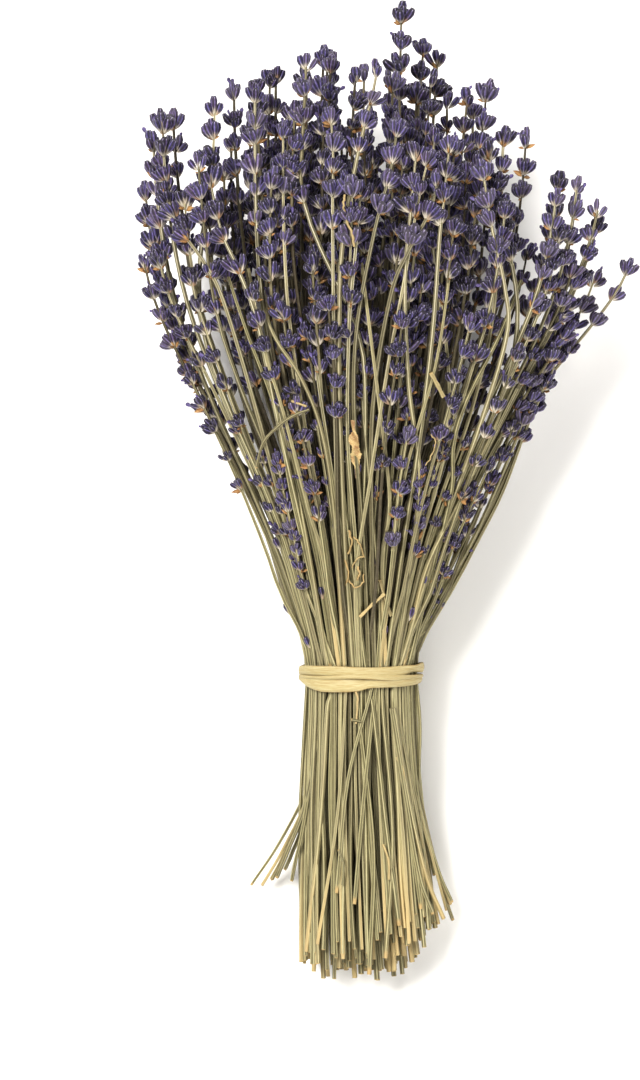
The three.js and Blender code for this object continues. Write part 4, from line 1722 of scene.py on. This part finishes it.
@dataclass
class LooseStems(Assembly):
    """Stems without flowers that cross the others or stick out below the tie, and scraps."""

    seed: int = 91
    # Places in mm: across from the tie's middle, the level, and how far over the front of the stems.
    crossing: tuple = (
        ((-2.5, -150, 1), (1, -110, 1.9), (5.5, -66, 1.1), (9, -20, 1), (12, 20, -1), (14, 44, -12)),
        ((-9, -146, 0.8), (-5, -105, 1.8), (3, -74, 1.6), (4.5, -66, 0.9)),
        ((14, -158, 0.8), (9, -120, 1.6), (4.5, -80, 1.4), (2, -66, 0.8), (-4, -20, 1), (-8, 12, 0), (-11, 40, -12)),
        ((-16, -165, 0.6), (-9, -120, 1.4), (-6, -80, 1.3), (-5.5, -66, 0.8)),
        ((22, -152, 0.4), (17.5, -118, 1.3), (13, -84, 1.3), (12, -66, 0.8), (18, -20, 0.6), (26, 20, -12)),
        ((3, -176, 0.6), (4.5, -130, 1.5), (-0.5, -84, 1.3), (-2, -66, 0.8), (-5, -30, 1.2), (-14, 30, 0),
         (-18, 56, -12)),
        ((-20, -168, 0.3), (-15, -120, 1.2), (-12.5, -80, 1.3), (-12, -66, 0.8), (-22, -5, 0.4), (-30, 30, -12)),
        ((9, -170, 0.8), (11.5, -125, 1.6), (8, -80, 1.4), (7.5, -66, 0.8), (6, -30, 1.4), (1, 25, 0.2),
         (-1, 52, -12)),
        ((-6, -64, 0.6), (-10, -6, 2), (-14.8, 24, 2.2), (-22.4, 43, 2.4), (-32, 58, 0.5), (-38, 76, -14)),
        ((9, -64, 0.6), (7.6, -24, 1.8), (10.2, -2, 2.2), (5.9, 36, 2.4), (2, 66, 1), (-1, 92, -16)),
        ((6.5, -64, 0.6), (11.9, -24, 2.4), (15.4, 5, 3), (20.5, 25, 3.4), (26.5, 46, 3.2), (31, 74, 0),
         (33, 98, -16)),
        ((15, -64, 0.6), (19.5, -43, 1.2), (24.8, -24, 2), (37.7, 2, 2.2), (48, 24, 0.2), (56, 44, -14)),
        ((17, -64, 0.6), (24, -35, 1.4), (32.6, 0, 2.2), (33.4, 18, 2.6), (38, 34, 2.4), (50, 58, 0), (58, 78, -14)),
        ((-8, -64, 0.6), (-13.8, -24, 1.6), (-19, -6, 2.2), (-28.4, 30, 2.6), (-35.7, 54, 1.5), (-41, 82, -14)),
        ((-11, -64, 0.6), (-19.9, -24, 1.6), (-25.9, 2, 2), (-31, 30, 2.2), (-42, 60, 0.2), (-50, 84, -14)),
    )
    # Broken pieces on the front, each with its radius and its places as in crossing.
    broken: tuple = (
        (0.62, ((-38.3, 10, 3), (-35.7, 19, 4.4), (-30.1, 25, 5), (-24.3, 29, 4.6), (-19, 31, 3.6))),
        (0.95, ((25, 44, 4.5), (27.2, 40, 5.4), (29.5, 35.5, 5.6))),
        (0.75, ((-0.5, -44.5, 3.2), (4, -40, 3.4), (8.6, -36, 3.6))),
        (0.7, ((6.6, -31, 2.4), (8.4, -37, 3), (10.8, -44, 2.2))),
        (0.6, ((-3.6, -82.2, 2.4), (-0.2, -82.8, 2.6))),
        (0.5, ((-25.4, 34, 4.5), (-20, 32, 5))),
        (0.55, ((13, -96, 2.2), (15.4, -101, 3), (15.8, -108, 2.4))),
        (0.5, ((8, -128, 2.4), (10, -134, 3.2), (10.2, -141, 2.4))),
        (0.55, ((21.5, -118, 0.6), (24.2, -123, 0.8), (25.6, -130, 0.4))),
        (0.45, ((-8.4, -130, 2), (-6.4, -136, 2.8), (-7, -143, 2))),
    )
    # Dry tan curls and strips, in the same way.
    curls: tuple = (
        (0.42, ((-4.8, -13, 2.4), (-3.6, -17, 3.6), (-4.6, -21.5, 2.6))),
        (0.34, ((-3, -15.5, 2.8), (-0.4, -18, 4), (1, -22.5, 3))),
        (0.3, ((1.2, -22, 2.8), (-1.6, -23.6, 4), (-3.4, -26.5, 2.6))),
        (0.4, ((-6.2, -23.5, 2.4), (-4.9, -28, 3.4), (-5.8, -33, 2.2))),
        (0.32, ((-4.8, -31, 2.4), (-2.2, -33.8, 3.6), (0.4, -32, 3.4), (0.8, -29, 2.6))),
        (0.48, ((-1.8, -25.5, 2.4), (-0.6, -28.5, 3.4), (-2, -31.5, 2.4))),
        (0.3, ((25.2, 22, 4.6), (26.8, 19, 5.2), (25.7, 15, 4.8), (23.5, 10.7, 4))),
        (0.5, ((-2, -71, 2), (-1.4, -76, 2.2), (-2.2, -84, 2))),
        (0.55, ((-6.2, 101, 4.5), (-5, 97, 5.2), (-3.4, 93, 5), (-3, 89.5, 4))),
        (0.45, ((-6, 108, 4), (-6.6, 104, 4.6), (-6, 100, 4.4))),
    )
    # Single fallen cups: across, the level, over the front, and which way they point, in degrees.
    cups: tuple = (
        (-18.8, -56, 0.9, 112), (8.6, -52, 1.4, 84), (-29.6, -20, 1.4, 118), (31, -22, 1.6, 60), (22, -34, 1, 72),
        (26, -46, 0.4, 66), (-14, -38, 1, 100), (12, -14, 1.4, 95), (-2, 6, 1.4, 78), (17.5, -46, 0.8, 75),
        (-26, -44, 0.4, 115), (4.4, -27, 1.2, 88), (28.4, -34, 0.8, 58), (-9, -8, 1.4, 102),
    )
    # Places in mm: across from the tie's middle, the level, and how far over the middle line.
    strays: tuple = (
        ((-14, -84, 3), (-19, -106, 1), (-30, -128, -6), (-40.5, -144, -13)),
        ((-13, -80, 6), (-19.5, -110, 3), (-29, -131, -4), (-36.5, -144, -11)),
        ((-15, -86, -2), (-20, -112, -3), (-28, -132, -8), (-33, -142, -14)),
        ((-14, -78, 8), (-20, -112, 6), (-26.5, -130, 0), (-31, -141, -6)),
        ((-14, -84, 2), (-20.5, -118, 2), (-25.5, -132, -4), (-28, -138, -9)),
        ((-15, -80, 5), (-21, -120, 6), (-24, -134, 2), (-25.5, -142, -2)),
        ((15, -80, 6), (21, -108, 4), (26.5, -132, 0), (33, -151, -6)),
        ((14, -82, 9), (20.5, -112, 7), (27, -136, 3), (31.5, -153, -2)),
        ((15, -84, 2), (22, -118, 0), (29, -142, -5), (34, -157, -10)),
        ((13, -78, 10), (19.5, -112, 9), (24.5, -138, 5), (28.5, -158, 1)),
        ((12, -78, 12), (17.5, -112, 12), (24, -140, 8), (30.5, -156, 3)),
        ((14, -80, 8), (19, -116, 10), (22.5, -140, 8), (25, -160, 4)),
        ((15, -80, 4), (21.5, -114, 6), (28.5, -138, 2), (33.6, -150, -2)),
        ((11, -78, 13), (16.5, -112, 13), (21.5, -140, 10), (26.5, -154, 7)),
        ((13, -80, 6), (18.5, -118, 9), (21, -144, 6), (22, -164, 2)),
        ((19.4, -60, 3), (21.6, -84, 3), (21.4, -106, 3), (24.5, -126, 2), (27, -140, 0)),
        ((-19.4, -62, 2), (-21.4, -96, 2), (-22.6, -124, 0), (-22, -160, -8)),
    )

    def build(self) -> None:
        """Builds the crossing and the stray stems as one piece."""
        random, guide = SeededRandom(self.seed), Guide()
        # The table, how its places are meant, which way the line runs, and the stems' girths, tints and taper.
        kinds = (
            (self.crossing, self.plan.on_front, 1, (0.8, 1.02), (0.45, 1.0), 0.72),
            (self.strays, self.by_middle, -1, (0.62, 0.85), (0.2, 0.9), 1.1),
        )
        for table, spot, way, girths, moods, taper in kinds:
            for places in table:
                points = draw_smooth([spot(*place) for place in places])[::way]
                girth, shade = random.between(*girths), random.shade(*moods)
                guide.add_line(points, np.linspace(girth, girth * taper, len(points)), shade, cut=True)
        self.grow("loose_stems", guide, Slot.STEM)

    def build_bits(self) -> None:
        """Builds the broken pieces, the curls and the fallen cups as one piece."""
        random, guide = SeededRandom(self.seed + 1), Guide()
        for rows, husk in ((self.broken, False), (self.curls, True)):
            for girth, places in rows:
                points = draw_smooth([self.plan.on_front(*place) for place in places], 4 if husk else 8)
                if husk:
                    points += [[random.between(-0.3, 0.3) for _ in range(3)] for _ in points]
                widths = girth * (1 + 0.12 * np.sin(np.arange(len(points)) * 0.9))
                guide.add_line(points, widths, random(), cut=True, husk=husk)
        for x, y, over, degrees in self.cups:
            way = math.radians(degrees)
            facing = quaternion(np.array([math.cos(way), math.sin(way), 0.16]), np.array([0.0, 0.0, 1.0]))
            size, point = random.between(0.7, 0.95), self.plan.on_front(x, y, over)
            guide.add_sprout(Part.CALYX, point, facing, (size, size, size), random.between(0, 0.6))
        self.grow("loose_bits", guide, Slot.LEAF)

    def by_middle(self, x: float, y: float, over: float) -> np.ndarray:
        """A point at the height of the middle line, or a little over or under it."""
        return np.array([x, y, max(1.6, float(self.plan.axis_at(y)[1]) + over)])


# ---------------------------------------------------------------- the tie and the leaf


def mesh_piece(name: str, plan: BunchPlan, points: list, faces: list, attributes: dict) -> Object:
    """Makes a smooth mesh object from points in mm.

    Args:
        name: The object's name.
        plan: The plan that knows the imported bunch's move.
        points: The points, in mm.
        faces: The faces.
        attributes: Rows of numbers by name, one for each point.

    Returns:
        The object.
    """
    mesh = bpy.data.meshes.new(name)
    placed = plan.place(np.array(points, float)) * MM
    mesh.from_pydata([tuple(p) for p in placed], [], faces)
    for key, row in attributes.items():
        mesh.attributes.new(key, "FLOAT", "POINT").data.foreach_set("value", np.array(row, np.float32))
    mesh.polygons.foreach_set("use_smooth", [True] * len(mesh.polygons))
    bm = bmesh.new()
    bm.from_mesh(mesh)
    bmesh.ops.recalc_face_normals(bm, faces=bm.faces)
    bm.to_mesh(mesh)
    bm.free()
    return add_object(name, mesh)


def ring_faces(rings: int, section: int, closed: bool = False) -> list:
    """Makes the faces of a tube out of rings of points.

    Args:
        rings: How many rings there are.
        section: How many points a ring has.
        closed: True if the last ring meets the first; otherwise the ends get a face each.

    Returns:
        The faces.
    """
    faces = []
    for ring in range(rings if closed else rings - 1):
        here, there = ring * section, (ring + 1) % rings * section
        for corner in range(section):
            after = (corner + 1) % section
            faces.append((here + corner, there + corner, there + after, here + after))
    if not closed:
        faces += [tuple(range(section)), tuple((rings - 1) * section + i for i in reversed(range(section)))]
    return faces


@dataclass
class Tie:
    """The raffia tie: a broad and a narrower flat strand side by side, and a thin one over their seam."""

    plan: BunchPlan
    thickness: float = 0.9
    off_stems: float = 1.95
    around: int = 180
    across: int = 10
    start: float = math.radians(-90)
    radius: float = 18.0
    # The broad strand's lower and upper edge by angle.
    broad: tuple = (
        (0, -1.6, 0.9), (12, -1.9, 0.9), (24, -2.5, 0.5), (45, -3.2, 0.4), (62, -3.5, 0.3), (78, -3.7, 0.3),
        (84, -4, 0.2), (92, -4.9, 0.1), (102, -5.2, 0.2), (118, -5.3, 0.3), (132, -5.1, 0.5), (143, -4.3, 0.5),
        (154, -3.2, 0.6), (164, -1.9, 0.7), (174, -1.1, 0.9), (186, -1.3, 0.9), (205, -3.4, 0.5), (230, -4.6, 0.2),
        (300, -4.6, 0.2), (335, -2.8, 0.6), (360, -1.6, 0.9),
    )

    def point(self, angle: float, along: float, height: float) -> np.ndarray:
        """A point on the tie: an angle round the stems, a level along them and a height off them.

        Args:
            angle: The angle.
            along: The place along, from the tie's middle.
            height: The height off the stems.

        Returns:
            The point, in mm.
        """
        y = self.plan.tie_y + along
        x, z = self.plan.axis_at(y)
        out = self.off_stems + height
        width, depth = (float(self.plan.outline_at(y, column)[0]) + out for column in (1, 2))
        return np.array([float(x) + width * math.cos(angle), y, float(z) + depth * math.sin(angle)])

    def strand(self, level: Callable, width: Callable, height: Callable, twist: Callable) -> tuple:
        """A flat strip of raffia once round the stems.

        Args:
            level: Its middle's place along the stems, by angle.
            width: Its half width, by angle.
            height: Its height off the stems, by angle.
            twist: How far it is turned over, by angle.

        Returns:
            Its points, and by point the way round so far and the place across the strand.
        """
        section = 2 * self.across
        points, reach, across = [], [], []
        for step in range(self.around):
            angle = self.start + 2 * math.pi * step / self.around
            half, turn = width(angle), twist(angle)
            for corner in range(section):
                theta = 2 * math.pi * corner / section
                sideways = math.copysign(abs(math.cos(theta)) ** 0.7, math.cos(theta))
                through = math.copysign(abs(math.sin(theta)) ** 0.6, math.sin(theta)) * self.thickness / 2
                edge = -0.4 * sideways * sideways
                along = half * sideways * math.cos(turn) - through * math.sin(turn)
                off = through * math.cos(turn) + half * sideways * math.sin(turn) + edge
                points.append(self.point(angle, level(angle) + along, height(angle) + self.thickness / 2 + off))
                reach.append(abs(angle - self.start) * self.radius)
                across.append(sideways)
        return points, reach, across

    def build(self, finishes: Finishes) -> None:
        """Builds the tie.

        Args:
            finishes: The bunch's materials.
        """

        def right(angle: float) -> float:
            """Is 1 at the right side of the stems and falls to 0 above and below it."""
            return float(smoothstep(math.cos(angle), 0.72, 1.0))

        def left(angle: float) -> float:
            """Is 1 at the left side of the stems and falls slowly to 0."""
            return float(smoothstep(-math.cos(angle), -0.2, 0.9))

        def bump(angle: float, degrees: float, spread: float) -> float:
            """Is 1 at an angle and falls to 0 on both sides."""
            off = (math.degrees(angle) - degrees + 180) % 360 - 180
            return math.exp(-((off / spread) ** 2))

        def edge(angle: float, column: int) -> float:
            """Reads the broad strand's lower or upper edge."""
            return float(np.interp(math.degrees(angle) % 360, *(np.array(self.broad)[:, i] for i in (0, column))))

        # Each strand's level along the stems, half width, height off the stems and twist, by angle.
        strands = [
            self.strand(
                lambda a: (edge(a, 2) + edge(a, 1)) / 2,
                lambda a: (edge(a, 2) - edge(a, 1)) / 2,
                lambda a: 0.1 + 0.08 * math.sin(3 * a) + 0.35 * bump(a, 176, 16),
                lambda a: 0.1 * math.sin(2 * a) - 0.35 * bump(a, 84, 12),
            ),
            self.strand(
                lambda a: 2.75 + 0.2 * math.sin(2 * a + 1) + 0.9 * right(a) - 0.5 * bump(a, 182, 14)
                - 0.5 * bump(a, 82, 34),
                lambda a: 1.95 + 0.12 * math.sin(4 * a) - 0.4 * bump(a, 22, 14),
                lambda a: 0.14 + 0.08 * math.sin(3 * a + 1) + 0.5 * bump(a, 8, 16) + 0.4 * bump(a, 178, 12),
                lambda a: -0.12 * math.sin(2 * a) + 0.75 * bump(a, 30, 13),
            ),
            self.strand(
                lambda a: 0.62 - 0.35 * left(a) - 0.5 * bump(a, 62, 24) + 0.15 * math.sin(4 * a + 2),
                lambda a: 0.75 + 0.5 * bump(a, 70, 30),
                lambda a: 0.5 + 0.1 * math.sin(4 * a) + 0.25 * bump(a, 70, 26),
                lambda a: 0.5 * math.sin(3 * a + 0.5),
            ),
        ]
        points, reach, across = (sum(rows, []) for rows in zip(*strands))
        ring = ring_faces(self.around, 2 * self.across, closed=True)
        starts = range(0, len(points), len(points) // len(strands))
        faces = [tuple(start + corner for corner in face) for start in starts for face in ring]
        piece = mesh_piece("raffia_tie", self.plan, points, faces, {"reach": reach, "across": across})
        piece.data.materials.append(finishes.raffia)
        finish_piece(piece, Slot.TIE, ("tie",))


@dataclass
class DriedLeaf:
    """The ochre leaf that curls along one stem on the upper side."""

    plan: BunchPlan
    seed: int = 5
    spray_index: int = 8
    start: float = 6.0
    length: float = 21.0
    width: float = 5.0
    thickness: float = 0.5
    off_stem: float = 0.75
    lift: float = 4.0
    curl: float = 1.1
    ragged: tuple = (0.78, 1.05)
    steps: int = 64
    across: int = 14

    def build(self, finishes: Finishes) -> None:
        """Builds the leaf.

        Args:
            finishes: The bunch's materials.
        """
        spray = self.plan.sprays["outer"][self.spray_index]
        outward = np.array([spray.u, 0.0, spray.v]) / math.hypot(spray.u, spray.v)
        sideways = np.cross([0.0, 1.0, 0.0], outward)
        random = SeededRandom(self.seed)
        ragged = [random.between(*self.ragged) for _ in range(self.steps + 1)]
        points, along, shade = [], [], []
        section = 2 * (self.across + 1)
        for step in range(self.steps + 1):
            share = step / self.steps
            half = self.width * (0.12 + 0.88 * math.sin(math.pi * min(share * 0.92 + 0.04, 1))) * ragged[step]
            half *= 0.8 + 0.2 * math.sin(19 * share + 1)
            turn = self.curl * share * share + 0.4 * math.sin(9 * share) + 0.25 * math.sin(23 * share)
            middle = self.plan.points_at(spray, self.start + self.length * share)[0]
            foot = self.plan.stem_radius + self.off_stem + self.lift * share * share
            for index in range(section):
                top = index <= self.across
                place = (index if top else section - 1 - index) / self.across - 0.5
                side = place * half
                cupped = 4 * place * place * half / 6 + 0.4 * math.sin(17 * share + 6 * place)
                rim = 1 - (2 * abs(place)) ** 6
                height = cupped + (0.5 if top else -0.5) * self.thickness * (0.25 + 0.75 * rim)
                up = foot + height * math.cos(turn) + side * math.sin(turn)
                over = side * math.cos(turn) - height * math.sin(turn)
                points.append(middle + outward * up + sideways * over)
                along.append(share)
                shade.append(min(1.0, max(0.0, 0.5 + 0.6 * math.sin(27 * share + 4 * place) - 2.4 * place * place)))
        faces = ring_faces(self.steps + 1, section)
        piece = mesh_piece("curled_leaf", self.plan, points, faces, {"along": along, "tint": shade})
        piece.data.materials.append(finishes.leaf)
        finish_piece(piece, Slot.LEAF, ("dried_leaf",))


# ---------------------------------------------------------------- the studio


@dataclass(frozen=True)
class Studio:
    """The floor, the soft lights and the camera straight above, at the photograph's framing."""

    plan: BunchPlan
    centre: tuple = (-15.1, -16.4)
    picture_height: float = 394.2
    subject_height: float = 55.0
    distance: float = 3600.0
    sensor: float = 36.0
    clip_end: float = 20.0
    gamma: float = 0.88
    floor_reach: float = 4.0
    horizon_light: float = 1.05
    sky_light: float = 0.03
    horizon: tuple = (0.03, 0.17)
    light_colour: tuple = (1.0, 0.985, 0.965)
    # Each light's name, which way it stands from the bunch, how large it looks in degrees, and its strength.
    lights: tuple = (
        ("window", (-0.44, 0.4, 0.92), 24, 4.9),
        ("fill_right", (0.7, -0.12, 0.76), 34, 1.5),
        ("fill_low", (0.06, -0.82, 0.7), 34, 2.1),
        ("fill_top", (0.04, 0.76, 0.6), 34, 1.2),
    )

    def build(self, finishes: Finishes) -> None:
        """Builds the floor, the lights, the surroundings and the camera.

        Args:
            finishes: The bunch's materials.
        """
        self.add_floor(finishes.floor)
        for light in self.lights:
            self.add_light(*light)
        self.add_surroundings()
        self.add_camera()
        bpy.context.scene.view_settings.view_transform = "Standard"
        bpy.context.scene.view_settings.gamma = self.gamma

    def add_floor(self, material: Material) -> None:
        """Adds the floor that the bunch lies on.

        Args:
            material: The floor's material.
        """
        mesh = bpy.data.meshes.new("floor")
        far = self.floor_reach
        mesh.from_pydata([(-far, -far, 0.0), (far, -far, 0.0), (far, far, 0.0), (-far, far, 0.0)], [], [(0, 1, 2, 3)])
        mesh.materials.append(material)
        floor = add_object("floor", mesh)

    def add_light(self, name: str, place: tuple, spread: float, strength: float) -> None:
        """Adds a large soft light, far off so that it lights the whole floor alike.

        Args:
            name: The light's name.
            place: Which way it stands, seen from the bunch.
            spread: How large it looks from the bunch, in degrees.
            strength: Its strength.
        """
        light = bpy.data.lights.new(name, "SUN")
        light.angle, light.energy, light.color = math.radians(spread), strength, self.light_colour
        lamp = add_object(name, light)
        lamp.location = Vector(place)
        lamp.rotation_mode = "QUATERNION"
        lamp.rotation_quaternion = (-lamp.location).to_track_quat("-Z", "Y")

    def add_surroundings(self) -> None:
        """Adds white surroundings that are bright at the horizon and dark above."""
        world = bpy.data.worlds.new("studio")
        bpy.context.scene.world = world
        world.use_nodes = True
        graph, back = NodeGraph(world.node_tree), world.node_tree.nodes["Background"]
        way = graph.add("ShaderNodeSeparateXYZ", {0: graph.add("ShaderNodeTexCoord").outputs["Generated"]})
        graph.put(back.inputs[1], graph.span(way.outputs[2], *self.horizon, self.horizon_light, self.sky_light))
        graph.put(back.inputs[0], (1.0, 1.0, 1.0, 1.0))

    def add_camera(self) -> None:
        """Adds the camera."""
        camera = bpy.data.cameras.new("camera")
        camera.sensor_width = self.sensor
        camera.lens = self.sensor * self.distance / self.picture_height
        camera.clip_end = self.clip_end
        eye = add_object("camera", camera)
        eye.location = Vector(self.plan.place(np.array([*self.centre, self.subject_height + self.distance]))) * MM
        bpy.context.scene.camera = eye


def main() -> None:
    logging.basicConfig(level=logging.INFO, format="%(name)s: %(message)s")
    finishes = Finishes.build()
    plan = BunchPlan()
    sprouter = Sprouter(finishes)
    for assembly in (Sprays, Fillers, Outliers):
        assembly(plan, sprouter).build()
    loose = LooseStems(plan, sprouter)
    loose.build()
    loose.build_bits()
    for assembly in (Tie, DriedLeaf, Studio):
        assembly(plan).build(finishes)


if __name__ == "__main__":
    main()
